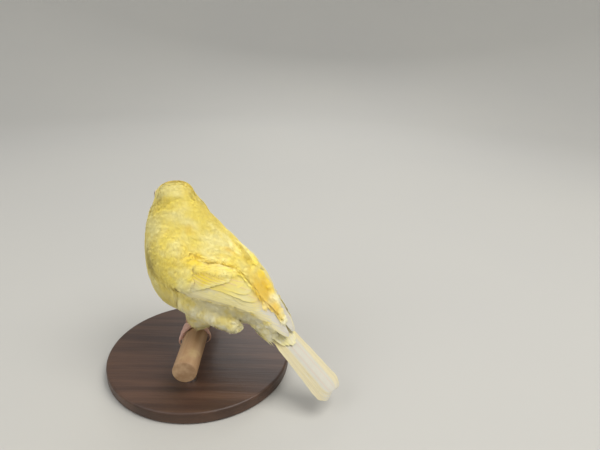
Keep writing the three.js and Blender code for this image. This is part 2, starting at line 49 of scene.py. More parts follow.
# Sizes of the bird are in millimetres, in its own frame: x forward, y left, z up from the perch's axis
body = {
    "turn": 28,
    # x, z, tilt of the spine, half width, height of the back, depth of the belly
    "rows": [
        [-63, -3, 39, 7.6, 2.8, 2.2],
        [-55, 4.5, 39, 8.0, 3.6, 2.6],
        [-47.5, 12.5, 40, 8.2, 4.8, 4.0],
        [-40, 20, 42, 8.4, 6.2, 6.4],
        [-31.5, 25, 45, 11.6, 9.4, 17.5],
        [-21, 29.5, 48, 16.4, 14.4, 28.5],
        [-9.5, 33.5, 53, 19.3, 17.8, 33.5],
        [-0.5, 39.5, 60, 19.6, 18.6, 28.8],
        [6.0, 47.5, 67, 18.2, 17.6, 21.4],
        [8.6, 56, 75, 15.6, 15.4, 17.0],
        [9.8, 63, 81, 13.1, 13.6, 13.3],
        [10.0, 69.6, 86, 9.4, 9.6, 8.8],
    ],
    "tailRoot": 3,
    "skullCore": 10.9,
}
head = {
    "centre": [10.2, 0, 67.2],
    "turn": -40,
    "nod": -4,
    # below 1 the crown is flatter, with squarer corners
    "corner": 0.8,
    # forward, half width, height, depth
    "rows": [
        [-9.7, 4.8, 4.6, 4.6],
        [-8.2, 7.1, 7.0, 7.1],
        [-5.0, 9.0, 8.7, 9.0],
        [-1.0, 9.6, 9.1, 10.0],
        [2.8, 9.1, 8.5, 9.7],
        [5.9, 7.5, 7.0, 8.2],
        [8.2, 5.5, 4.9, 6.2],
        [9.8, 3.9, 3.3, 4.5],
    ],
}
perchRadius = 5.5
gap = 0.3  # left between pieces that touch

# Colours as they look on a screen, 0 to 255
colours = {
    "yellow": (249, 228, 98),
    "bright": (246, 214, 50),
    "rump": (246, 206, 38),
    "frost": (251, 241, 172),
    "pale": (243, 237, 208),
    # painted shade: a dull olive for the shaded left side by the wing's bend
    "paintedShade": (184, 162, 58),
    "flight": (219, 214, 198),
    "horn": (226, 186, 166),
    "hornTip": (196, 150, 134),
    "legSkin": (222, 178, 162),
    "wood": (190, 158, 122),
    "woodDark": (152, 118, 84),
    "base": (88, 62, 46),
    "baseDark": (66, 45, 33),
    "floor": (190, 188, 183),
}

radians = math.radians


def smooth(value, low=0.0, high=1.0):
    t = np.clip((np.asarray(value, float) - low) / (high - low), 0, 1)
    return t * t * (3 - 2 * t)


def mix(a, b, t):
    return a + (b - a) * t


def unit(v):
    return v / np.maximum(np.linalg.norm(v, axis=-1, keepdims=True), 1e-9)


def dot(a, b):
    return np.sum(a * b, axis=-1, keepdims=True)


def linear(name):
    return tuple(((c / 255 + 0.055) / 1.055) ** 2.4 if c > 10 else c / 3295 for c in colours[name])


def turned(points, axis, angle):
    return np.asarray(points, float) @ np.array(Matrix.Rotation(angle, 3, Vector(axis))).T


birdTurn = radians(180 - body["turn"])


def toWorld(points):
    return turned(points, (0, 0, 1), birdTurn) / 1000 + np.array([0, 0, perchHeight])


def toBird(points):
    return turned((np.asarray(points) - np.array([0, 0, perchHeight])) * 1000, (0, 0, 1), -birdTurn)


# A table's columns at fractional rows, by Catmull-Rom
def rowValues(rows, at):
    rows = np.asarray(rows, float)
    at = np.asarray(at, float)
    last = len(rows) - 1
    i = np.clip(np.floor(at).astype(int), 0, last - 1)
    t = (at - i)[..., None]
    a, b, c, d = (rows[np.clip(i + k, 0, last)] for k in (-1, 0, 1, 2))
    return b + 0.5 * t * (c - a + t * (2 * a - 5 * b + 4 * c - d + t * (3 * (b - c) + d - a)))


def bodySection(at):
    x, z, tilt, halfWidth, back, belly = np.moveaxis(rowValues(body["rows"], at), -1, 0)
    tilt = np.radians(tilt)
    nothing = np.zeros_like(x)
    centre = np.stack([x, nothing, z], -1)
    dorsal = np.stack([-np.sin(tilt), nothing, np.cos(tilt)], -1)
    spine = np.stack([np.cos(tilt), nothing, np.sin(tilt)], -1)
    return centre, dorsal, spine, halfWidth[..., None], back[..., None], belly[..., None]


# Points on the body, or lifted off it. Angles start at the middle of the back, and +90 is the left side.
def bodyPoint(at, angle, lift=0.0):
    at, angle, lift = np.broadcast_arrays(*(np.asarray(v, float) for v in (at, angle, lift)))
    centre, dorsal, _, halfWidth, back, belly = bodySection(at)
    cos = np.cos(np.radians(angle))[..., None]
    sin = np.sin(np.radians(angle))[..., None]
    depth = np.where(cos > 0, back, belly)
    left = np.array([0.0, 1.0, 0.0])
    outward = unit(left * (sin / halfWidth) + dorsal * (cos / depth))
    return centre + dorsal * (cos * depth) + left * (sin * halfWidth) + outward * lift[..., None]


headForward = turned(turned([1, 0, 0], (0, 1, 0), -radians(head["nod"])), (0, 0, 1), radians(head["turn"]))
headLeft = unit(np.cross([0, 0, 1], headForward))
headUp = unit(np.cross(headForward, headLeft))
billForward = head["rows"][-1][0]


def headPoint(forward, left, height):
    forward, left, height = (np.asarray(v, float)[..., None] for v in (forward, left, height))
    return np.array(head["centre"]) + headForward * forward + headLeft * left + headUp * height


def headWidth(forward):
    at = np.linspace(0, len(head["rows"]) - 1, 300)
    table = rowValues(head["rows"], at)
    return float(np.interp(forward, table[:, 0], table[:, 1]))


billRoot = headPoint(billForward, 0, 0)

# The ring stands round the ball at the rim's height, on a low mound of flesh
eye = {
    "radius": 2.3,
    "forward": 4.3,
    "height": 1.9,
    "inset": 1.65,
    "outward": [0.5, 0.14],  # how far it looks forward and up, for each step sideways
    "ring": 1.95,
    "lid": 0.17,
    "rim": 1.25,
    "mound": 4.6,
    "moundDepth": 2.75,
    "margin": 0.05,
}


def eyeCentre(side):
    return headPoint(eye["forward"], side * (headWidth(eye["forward"]) - eye["inset"]), eye["height"])


def eyeOutward(side):
    forward, upward = eye["outward"]
    return unit(headPoint(forward, side, upward) - headPoint(0, 0, 0))


# Mesh building

def newObject(name, mesh, material=None):
    piece = bpy.data.objects.new(name, mesh)
    bpy.context.scene.collection.objects.link(piece)
    if material:
        mesh.materials.append(material)
    return piece


def meshFrom(name, points, faces, material=None):
    mesh = bpy.data.meshes.new(name)
    mesh.from_pydata([tuple(p) for p in toWorld(points)], [], [tuple(f) for f in faces])
    mesh.update()
    mesh.shade_smooth()
    return newObject(name, mesh, material)


# A big mesh of triangles with values on its points and the map that its colours are stored by
def bigMesh(name, points, triangles, values, uv, material, flat=False):
    mesh = bpy.data.meshes.new(name)
    mesh.vertices.add(len(points))
    mesh.vertices.foreach_set("co", toWorld(points).astype(np.float32).ravel())
    mesh.loops.add(triangles.size)
    mesh.loops.foreach_set("vertex_index", triangles.astype(np.int32).ravel())
    mesh.polygons.add(len(triangles))
    mesh.polygons.foreach_set("loop_start", np.arange(0, triangles.size, 3, dtype=np.int32))
    mesh.update(calc_edges=True)
    for key, value in values.items():
        mesh.attributes.new(key, "FLOAT", "POINT").data.foreach_set("value", value.astype(np.float32).ravel())
    if uv is not None:
        layer = mesh.uv_layers.new(name="OFBake")
        layer.uv.foreach_set("vector", uv[triangles.ravel()].astype(np.float32).ravel())
    if flat:
        mesh.shade_flat()
    else:
        mesh.shade_smooth()
    return newObject(name, mesh, material)


def loftFaces(rings, count):
    faces = []
    for r in range(rings - 1):
        for i in range(count):
            a = r * count + i
            b = r * count + (i + 1) % count
            faces.append((a, b, b + count, a + count))
    faces.append(tuple(range(count))[::-1])
    faces.append(tuple(range((rings - 1) * count, rings * count)))
    return faces


def loft(name, rings, material=None):
    return meshFrom(name, rings.reshape(-1, 3), loftFaces(*rings.shape[:2]), material)


def curveFrames(points):
    tangent = unit(np.gradient(points, axis=0))
    normal = np.zeros_like(points)
    start = np.cross(tangent[0], [0, 0, 1])
    normal[0] = unit(start if np.linalg.norm(start) > 0.05 else np.cross(tangent[0], [0, 1, 0]))
    for i in range(1, len(points)):
        moved = normal[i - 1] - tangent[i] * np.dot(normal[i - 1], tangent[i])
        normal[i] = unit(moved)
    return normal, np.cross(tangent, normal)


def tube(name, points, radii, count=16, material=None):
    normal, side = curveFrames(points)
    turn = np.linspace(0, 2 * np.pi, count, endpoint=False)
    radii = np.broadcast_to(radii, len(points))[:, None, None]
    ring = normal[:, None] * np.cos(turn)[None, :, None] + side[:, None] * np.sin(turn)[None, :, None]
    return loft(name, points[:, None] + ring * radii, material)


# A smooth curve through a few points
def throughPoints(points, count):
    points = np.asarray(points, float)
    return rowValues(points, np.linspace(0, len(points) - 1, count))


def active(piece, *others):
    bpy.ops.object.select_all(action="DESELECT")
    for each in (piece, *others):
        each.select_set(True)
    bpy.context.view_layer.objects.active = piece


def applied(piece, kind, **settings):
    active(piece)
    modifier = piece.modifiers.new(kind.title(), kind)
    for key, value in settings.items():
        setattr(modifier, key, value)
    bpy.ops.object.modifier_apply(modifier=modifier.name)
    return piece


def placed(piece, slot, *nodes):
    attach(piece, "root")
    if nodes:
        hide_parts(*nodes)
    return piece


# Materials

class Socket:
    def __init__(self, graph, output):
        self.graph = graph
        self.output = output

    def __add__(self, other):
        return self.graph.maths("ADD", self, other)

    def __sub__(self, other):
        return self.graph.maths("SUBTRACT", self, other)

    def __rsub__(self, other):
        return self.graph.maths("SUBTRACT", other, self)

    def __mul__(self, other):
        return self.graph.maths("MULTIPLY", self, other)

    def __abs__(self):
        return self.graph.maths("ABSOLUTE", self)

    __radd__ = __add__
    __rmul__ = __mul__


class Graph:
    def __init__(self, name):
        self.material = bpy.data.materials.new(name)
        self.material.use_nodes = True
        self.tree = self.material.node_tree
        self.shader = self.tree.nodes["Principled BSDF"]

    def feed(self, socket, value):
        if isinstance(value, Socket):
            self.tree.links.new(value.output, socket)
        else:
            socket.default_value = value

    def node(self, kind, inputs=None, output=0, **settings):
        made = self.tree.nodes.new("ShaderNode" + kind)
        for key, value in settings.items():
            setattr(made, key, value)
        for key, value in (inputs or {}).items():
            self.feed(made.inputs[key], value)
        return Socket(self, made.outputs[output])

    def maths(self, operation, *values):
        return self.node("Math", dict(enumerate(values)), operation=operation)

    def ramp(self, value, low, high, start=0.0, end=1.0):
        inputs = {0: value, 1: low, 2: high, 3: start, 4: end}
        return self.node("MapRange", inputs, interpolation_type="SMOOTHSTEP")

    def blend(self, share, a, b, kind="MIX"):
        a, b = ((*linear(v), 1) if isinstance(v, str) else v for v in (a, b))
        return self.node("Mix", {0: share, 6: a, 7: b}, 2, data_type="RGBA", blend_type=kind)

    def position(self):
        return self.node("TexCoord", output=3)

    def value(self, name):
        return self.node("Attribute", output=2, attribute_name=name)

    def noise(self, scale, detail=3.0, vector=None, roughness=0.55):
        inputs = {"Vector": vector or self.position(), "Scale": scale}
        return self.node("TexNoise", {**inputs, "Detail": detail, "Roughness": roughness})

    # How far a point of the bird is, in metres
    def distance(self, point):
        place = tuple(toWorld(np.array(point, float)))
        return self.node("VectorMath", {0: self.position(), 1: place}, 1, operation="DISTANCE")

    # 1 near a point of the bird, fading to 0 at about the radius, with an edge that wanders with the noise
    def spot(self, point, radius, wander):
        away = self.distance(point) + (wander - 0.5) * (radius * 0.0022)
        return self.ramp(away, radius * 0.2 / 1000, radius * 1.1 / 1000, 1.0, 0.0)

    # How far along a direction of the bird's own frame, in millimetres
    def along(self, direction):
        axis = turned(np.array(direction, float), (0, 0, 1), birdTurn)
        reach = self.node("VectorMath", {0: self.position(), 1: tuple(axis)}, 1, operation="DOT_PRODUCT")
        return (reach - float(axis[2] * perchHeight)) * 1000.0

    def bump(self, height, distance, strength=1.0):
        inputs = {"Height": height, "Distance": distance, "Strength": strength}
        self.feed(self.shader.inputs["Normal"], self.node("Bump", inputs))

    def finish(self, colour, roughness, **others):
        self.feed(self.shader.inputs["Base Color"], colour)
        self.feed(self.shader.inputs["Roughness"], roughness)
        for key, value in others.items():
            self.feed(self.shader.inputs[key.replace("_", " ")], value)
        return self.material


# The markings that skin, coat and coverts share, with painted shade in a dull olive on the left side by the
# wing's bend
def markings(graph):
    patches = graph.noise(80.0, 2.0)
    colour = graph.blend(graph.ramp(patches, 0.42, 0.68) * 0.75, "yellow", "frost")
    height = graph.along((0, 0, 1))
    length = graph.along((1, 0, 0))
    under = graph.ramp(height, 40.0, 20.0) * graph.ramp(length, 10.0, -12.0)
    streaks = graph.ramp(graph.noise(210.0, 3.0), 0.36, 0.6, 0.35, 0.95)
    colour = graph.blend(under * streaks, colour, "pale")
    for point, radius, name, share in [
        (bodyPoint(3.9, 0), 10.0, "rump", 0.85),
        (bodyPoint(3.1, -2), 8.5, "rump", 0.7),
        (bodyPoint(4.8, -4), 8.0, "rump", 0.35),
        (bodyPoint(6.75, -5), 4.5, "rump", 0.75),
        (bodyPoint(8.9, 32), 4.5, "bright", 0.95),
        (bodyPoint(6.2, 40), 13.0, "bright", 0.7),
        (bodyPoint(7.4, 56), 8.0, "bright", 0.4),
        (headPoint(4, 0, 8), 9.0, "bright", 0.3),
        (headPoint(9, 0, 0), 7.0, "bright", 0.4),
        # painted shade on the left side, where the breast meets the wing's bend
        (bodyPoint(7.9, 112), 10.0, "paintedShade", 0.8),
        (bodyPoint(7.3, 118), 7.0, "paintedShade", 0.5),
        ([-13.8, 18, 34.1], 6.0, "pale", 0.8),
        ([-18, 18, 31.3], 6.0, "pale", 0.8),
        ([-22.1, 17, 28.5], 6.0, "pale", 0.7),
    ]:
        colour = graph.blend(graph.spot(point, radius, patches) * share, colour, name)
    return colour


def shaded(graph, colour, shade):
    return graph.blend(1.0, colour, graph.node("CombineColor", {0: shade, 1: shade, 2: shade}), "MULTIPLY")


def plumageMaterial(name, coated):
    graph = Graph(name)
    colour = markings(graph)
    if coated:
        along = graph.value("along")
        colour = graph.blend(graph.ramp(along, 0.5, 1.0) * 0.3, colour, "frost")
        rootShade = graph.ramp(along, 0.1, 0.55, 0.9, 1.0)
        colour = shaded(graph, colour, rootShade * (graph.value("tone") * 0.1 + 0.92))
    else:
        colour = shaded(graph, colour, 0.95)
        graph.bump(graph.noise(900.0, 4.0), 0.0003)
    return graph.finish(colour, 0.8, Sheen_Weight=0.2, Sheen_Roughness=0.5)


vaneSizes = {
    "steps": 18,
    "columns": 9,
    "thickness": 0.26,
    "camber": 0.4,
    "shaft": 0.25,  # share of the half width that the shaft is off the middle
    "barb": 0.42,
    "deep": 3.0,
}


# Big feathers: a blade with a fine comb of barbs, a shaft, and paler or yellow edges
def bladeMaterial(name, edge, edgeShare, body=None):
    graph = Graph(name)
    across, along, tone = (graph.value(key) for key in ("across", "along", "tone"))
    fromShaft = abs(across - vaneSizes["shaft"])
    comb = graph.maths("SINE", graph.value("barb"))
    colour = markings(graph)
    if body:
        colour = graph.blend(graph.value("white") * graph.ramp(along, 0.1, 0.45, 0.3, 1.0), colour, body)
        colour = graph.blend(graph.ramp(across, 0.62, 0.98) * edgeShare, colour, edge)
    else:
        rim = graph.maths("MAXIMUM", graph.ramp(abs(across), 0.6, 1.0), graph.ramp(along, 0.8, 1.0))
        colour = graph.blend(rim * edgeShare, colour, edge)
    shaft = graph.ramp(fromShaft, 0.09, 0.03)
    web = graph.ramp(abs(across), 0.75, 0.98, 0.93, 1.0)
    uneven = (comb * 0.025) + (graph.noise(500.0, 3.0) * 0.08) + (tone * 0.08)
    colour = shaded(graph, colour, web * (uneven + 0.9))
    colour = graph.blend(shaft * 0.35, colour, "horn")
    graph.bump((comb * 0.4) + (shaft * 1.2), 0.00005)
    return graph.finish(colour, 0.6, Sheen_Weight=0.15)


def hornMaterial():
    graph = Graph("horn")
    fromBase = graph.distance(billRoot)
    streaks = graph.noise(600.0, 4.0)
    colour = graph.blend(graph.ramp(fromBase, 0.004, 0.010) * 0.7, "horn", "hornTip")
    colour = graph.blend(graph.ramp(streaks, 0.4, 0.75) * 0.25, colour, "frost")
    graph.bump(streaks, 0.00008)
    return graph.finish(colour, 0.36, Coat_Weight=0.2)


def legMaterial():
    graph = Graph("legSkin")
    inputs = {"Vector": graph.position(), "Scale": 1300.0}
    cells = graph.node("TexVoronoi", inputs, feature="DISTANCE_TO_EDGE")
    creases = graph.ramp(cells, 0.0, 0.14)
    colour = graph.blend((creases * 0.6) + 0.4, "hornTip", "legSkin")
    colour = graph.blend(graph.noise(500.0) * 0.35, colour, "horn")
    graph.bump(creases, 0.00008)
    return graph.finish(colour, 0.5)


def eyeMaterial(side):
    graph = Graph("eye" + str(side))
    away = graph.distance(eyeCentre(side) + eyeOutward(side) * eye["radius"])
    ring = graph.ramp(away, 0.00105, 0.0013)  # from the pupil to the iris, in metres
    brown = graph.blend(graph.noise(1500.0), (0.028, 0.014, 0.008, 1), (0.06, 0.03, 0.015, 1))
    colour = graph.blend(ring, (0.004, 0.004, 0.005, 1), brown)
    return graph.finish(colour, 0.06, Coat_Weight=1.0, Coat_Roughness=0.02)


def lidMaterial():
    graph = Graph("lid")
    colour = graph.blend(graph.noise(1200.0), "horn", "frost")
    graph.bump(graph.noise(2600.0, 2.0), 0.0001)
    return graph.finish(colour, 0.6)


def woodMaterial(name, light, dark, worn, axis, rough, scale=1.0):
    graph = Graph(name)
    stretch = [1.0, 1.0, 1.0]
    stretch[axis] = 0.06
    mapped = graph.node("Mapping", {"Vector": graph.position(), "Scale": tuple(stretch)})
    grain = graph.noise(900.0 * scale, 5.0, mapped, 0.65)
    broad = graph.noise(160.0 * scale, 3.0, mapped)
    blotch = graph.noise(60.0, 3.0)
    colour = graph.blend(graph.ramp(broad, 0.35, 0.65), light, dark)
    colour = graph.blend(graph.ramp(grain, 0.55, 0.72) * 0.55, colour, dark)
    colour = graph.blend(graph.ramp(blotch, 0.6, 0.8) * 0.3, colour, worn)
    graph.bump(grain, 0.00012)
    return graph.finish(colour, rough)


def steelMaterial():
    graph = Graph("brushedSteel")
    mapped = graph.node("Mapping", {"Vector": graph.position(), "Scale": (1.0, 1.0, 0.02)})
    lines = graph.noise(3000.0, 2.0, mapped)
    graph.bump(lines, 0.00003)
    return graph.finish((0.56, 0.56, 0.57, 1), graph.ramp(lines, 0.3, 0.7, 0.26, 0.42), Metallic=1.0)


def floorMaterial():
    graph = Graph("floor")
    return graph.finish(graph.blend(graph.noise(3.0) * 0.12, "floor", "pale"), 0.8)


coatMaterial = plumageMaterial("coat", True)
skinMaterial = plumageMaterial("plumageSkin", False)
wingMaterial = bladeMaterial("wingFeather", "yellow", 0.38, "flight")
tailMaterial = bladeMaterial("tailFeather", "bright", 0.3, "flight")
coverMaterial = bladeMaterial("covertFeather", "frost", 0.6)
horn = hornMaterial()
legSkin = legMaterial()
print("materials")

# The skin: one closed surface under all the small feathers

thigh = {"hip": [-9, 11, 25], "radii": [9, 8.8, 5.2], "low": 9.8, "back": 1.4}
flank = {"core": [[-3, 13, 26], [-17, 14, 21.5], [-36, 12.8, 17.5]], "radii": [7.5, 2.4]}
# The folded arm: its place and size on the body as stations and degrees, then heights over the body
wingArm = {"at": 7.5, "angle": 76, "length": 1.65, "spread": 34, "height": 2.9, "inner": 0.1, "sunk": 3.0}
legs = {"spacing": 8.5, "toe": 0.95, "tarsus": 1.05, "ankle": 1.3, "ankleBack": 8.5, "ankleHeight": 20}
toeRing = perchRadius + gap + legs["toe"]
tail = {
    "tilt": 39.5,
    "roll": 14,
    "length": 45.5,
    "outerExtra": 2.4,
    "spread": 4.9,
    "pairs": 6,
    "halfWidth": 3.3,
    # the fleshy root: where it starts and ends, its half widths and half heights there
    "core": [-4, 10],
    "coreWidths": [7.4, 3.4],
    "coreHeights": [5.2, 1.2],
}
skinSizes = {"voxel": 0.55, "smoothing": 20, "low": 2.8}
coat = {
    "depth": 1.3,
    "billDepth": 0.35,
    "eyeDepth": 0.15,
    "length": 6.8,
    "width": 3.4,
    "camber": 0.28,
    "candidates": 500000,
    # barbs of a feather of the face and of the body, and the grids that thin the roots out
    "barbs": [5, 9],
    "bodySpacing": 1.1,
    "headSpacing": 0.76,
    "faceSpacing": 0.5,
    "faceLength": 2.0,
    "faceWidth": 1.2,
    "piece": 190000,  # most triangles in one piece
}

tailCentre = bodySection(np.array(float(body["tailRoot"])))[0]
tailTilt = radians(tail["tilt"])
tailAxis = np.array([-math.cos(tailTilt), 0, -math.sin(tailTilt)])
tailTop = turned([-math.sin(tailTilt), 0, math.cos(tailTilt)], tailAxis, radians(tail["roll"]))
tailLeft = turned([0, 1, 0], tailAxis, radians(tail["roll"]))


def tailPoint(along, left, height):
    along, left, height = (np.asarray(v, float)[..., None] for v in (along, left, height))
    return tailCentre + tailAxis * along + tailTop * height + tailLeft * left


def toeGrip(angle, y, radius):
    angle = np.radians(angle)
    world = np.stack([-radius * np.sin(angle), y + 0 * angle, radius * np.cos(angle)], -1)
    return turned(world, (0, 0, 1), -birdTurn)


def footTop(side):
    return toeGrip(np.array(0.0), -side * legs["spacing"], toeRing + 0.55)


def anklePoint(side):
    return footTop(side) + np.array([-legs["ankleBack"], side * 1.0, legs["ankleHeight"] - toeRing])


def headRings(steps, count):
    at = np.linspace(0, len(head["rows"]) - 1, steps)
    forward, halfWidth, height, depth = np.moveaxis(rowValues(head["rows"], at), -1, 0)[..., None]
    turn = np.linspace(0, 2 * np.pi, count, endpoint=False)[None]
    sin, cos = np.sin(turn), np.cos(turn)
    power = np.where(cos > 0, mix(head["corner"], 1.0, smooth(forward, 0, 5)), 1.0)
    sin, cos = (np.sign(v) * np.abs(v) ** power for v in (sin, cos))
    return headPoint(forward + 0 * turn, halfWidth * sin, np.where(cos > 0, height, depth) * cos)


def legFlesh(side):
    hip = np.array(thigh["hip"], float) * [1, side, 1]
    knee = mix(anklePoint(side), hip, 0.35)
    low = footTop(side) + np.array([-thigh["back"], side * 0.6, 0])
    low[2] = thigh["low"]
    t = np.linspace(0, 1, 14)
    top, middle, bottom = thigh["radii"]
    radii = np.where(t < 0.6, mix(top, middle, t / 0.6), mix(middle, bottom, smooth((t - 0.6) / 0.4)))
    s = 1 - (1 - np.linspace(0, 1, 24)) ** 1.6
    core = rowValues(np.array(flank["core"], float) * [1, side, 1], s * 2)
    rounded = np.sqrt(1 - np.clip((s - 0.82) / 0.19, 0, 1) ** 2)
    return [
        tube("thighFlesh", throughPoints([hip, knee, low], 14), radii, 24),
        tube("flankFlesh", core, mix(*flank["radii"], s ** 1.2) * rounded, 20),
    ]


def wingFlesh(side):
    turn = np.linspace(0, 2 * np.pi, 40, endpoint=False)
    rings = []
    for r in np.sin(np.linspace(0.04, np.pi / 2, 10)):
        height = wingArm["inner"] + wingArm["height"] * math.sqrt(1 - r * r)
        rings.append((r, height))
    rings += [(1.0, -wingArm["sunk"]), (0.05, -wingArm["sunk"])]
    points = [bodyPoint(wingArm["at"] + wingArm["length"] * r * np.cos(turn),
                        side * (wingArm["angle"] + wingArm["spread"] * r * np.sin(turn)), lift)
              for r, lift in rings]
    return loft("wingFlesh", np.array(points))


def tailFlesh():
    t = np.linspace(0, 1, 8)[:, None]
    turn = np.linspace(0, 2 * np.pi, 32, endpoint=False)[None]
    left = mix(*tail["coreWidths"], t) * np.sin(turn)
    height = mix(*tail["coreHeights"], smooth(t)) * np.cos(turn)
    return loft("tailFlesh", tailPoint(mix(*tail["core"], t) + 0 * turn, left, height))


def eyeMound(side):
    bpy.ops.object.select_all(action="DESELECT")
    place = toWorld(eyeCentre(side) - eyeOutward(side) * eye["moundDepth"])
    size = eye["mound"] / 1000
    bpy.ops.mesh.primitive_uv_sphere_add(segments=48, ring_count=32, radius=size, location=place)
    return bpy.context.object


# How far points are from the bill's root and from the nearer eye
def fromFace(points):
    fromBill = np.linalg.norm(points - billRoot, axis=-1)
    fromEye = np.minimum(*(np.linalg.norm(points - eyeCentre(side), axis=-1) for side in (1, -1)))
    return fromBill, fromEye


# The coat gets thinner towards the bill and the eyes
def coatDepth(points):
    fromBill, fromEye = fromFace(points)
    depth = mix(coat["billDepth"], coat["depth"], smooth(fromBill, 2.0, 18.0))
    return np.minimum(depth, mix(coat["eyeDepth"], coat["depth"], smooth(fromEye, 2.2, 8.0)))


def pointsOf(mesh, what="co"):
    values = np.zeros(len(mesh.vertices) * 3)
    mesh.vertices.foreach_get(what, values)
    return values.reshape(-1, 3)


def makeSkin():
    around = np.linspace(0, 360, 72, endpoint=False)[None]
    stations = np.linspace(skinSizes["low"], body["skullCore"], 60)[:, None]
    trunk = loft("skin", bodyPoint(stations, around), skinMaterial)
    parts = [loft("skull", headRings(40, 48)), tailFlesh()]
    for side in (1, -1):
        parts += [*legFlesh(side), wingFlesh(side), eyeMound(side)]
    active(trunk, *parts)
    bpy.ops.object.join()
    applied(trunk, "REMESH", mode="VOXEL", voxel_size=skinSizes["voxel"] / 1000)
    applied(trunk, "SMOOTH", factor=0.6, iterations=skinSizes["smoothing"])
    points, normals = pointsOf(trunk.data), pointsOf(trunk.data, "normal")
    points = points - normals * coatDepth(toBird(points))[:, None] / 1000
    trunk.data.vertices.foreach_set("co", points.ravel())
    trunk.data.update()
    trunk.data.shade_smooth()
    return trunk


skin = makeSkin()
print("skin", len(skin.data.polygons))

# Where a point lies along the bent spine and round it, which is also the unwrap of the skin

spineStations = np.linspace(0.5, body["skullCore"], 260)
spineCentres, spineDorsal, spineDirections, spineWidths, spineBacks, spineBellies = bodySection(spineStations)


def stationOf(points):
    best = np.zeros(len(points), int)
    for start in range(0, len(points), 4000):
        offset = points[start:start + 4000, None] - spineCentres[None]
        along = np.abs(np.sum(offset * spineDirections[None], -1))
        away = np.linalg.norm(offset[..., [0, 2]], axis=-1)
        best[start:start + 4000] = np.argmin(along + 0.05 * away, axis=1)
    offset = points - spineCentres[best]
    up = dot(offset, spineDorsal[best])[:, 0]
    depth = np.where(up > 0, spineBacks[best, 0], spineBellies[best, 0])
    angle = np.degrees(np.arctan2(offset[:, 1] / spineWidths[best, 0], up / depth))
    return spineStations[best], angle, spineDirections[best]


# The skin's own map: round the spine and along it, with the crown as a pole, and the thighs below
def unwrap(points):
    station, angle, _ = stationOf(points)
    fromCrown = points - np.array(head["centre"])
    polar = np.degrees(np.arctan2(np.linalg.norm(fromCrown[:, :2], axis=-1), fromCrown[:, 2]))
    above = np.where((points[:, 2] > head["centre"][2]) & (polar < 90), (90 - polar) / 90, 0.0)
    u = 0.04 + 0.92 * (angle + 180) / 360
    v = 0.2 + 0.76 * (np.maximum(station, 2.5) - 2.5 + 3.0 * above) / (body["skullCore"] + 0.5)
    for side in (1, -1):
        hip, foot = np.array(thigh["hip"], float) * [1, side, 1], footTop(side)
        share = np.clip((hip[2] - points[:, 2]) / (hip[2] - foot[2]), 0, 1)
        axis = mix(hip, foot, share[:, None])
        leg = (points[:, 2] < 15.5) & (side * points[:, 1] > 0) & (points[:, 0] < 0)
        turn = np.arctan2(points[:, 1] - axis[:, 1], points[:, 0] - axis[:, 0]) / (2 * np.pi) + 0.5
        u = np.where(leg, 0.04 + 0.42 * turn + (0.0 if side > 0 else 0.5), u)
        v = np.where(leg, 0.03 + 0.14 * share, v)
    return np.stack([u, v], -1)


def skinMap():
    mesh = skin.data
    uv = unwrap(toBird(pointsOf(mesh)))
    corners = np.zeros(len(mesh.loops), int)
    mesh.loops.foreach_get("vertex_index", corners)
    corner = uv[corners].reshape(-1, 4, 2)
    wide = np.ptp(corner[..., 0], axis=1, keepdims=True) > 0.4
    corner[..., 0] = np.where(wide & (corner[..., 0] < 0.5), corner[..., 0] + 0.92, corner[..., 0])
    layer = mesh.uv_layers.new(name="OFBake")
    layer.uv.foreach_set("vector", corner.astype(np.float32).ravel())


skinMap()
placed(skin, "plumage", "torso", "neck", "head", "thigh_left", "thigh_right")

# Flight feathers

# Each vane once more, with its underside sunk into the body: the small feathers lie over these
deepVanes = []


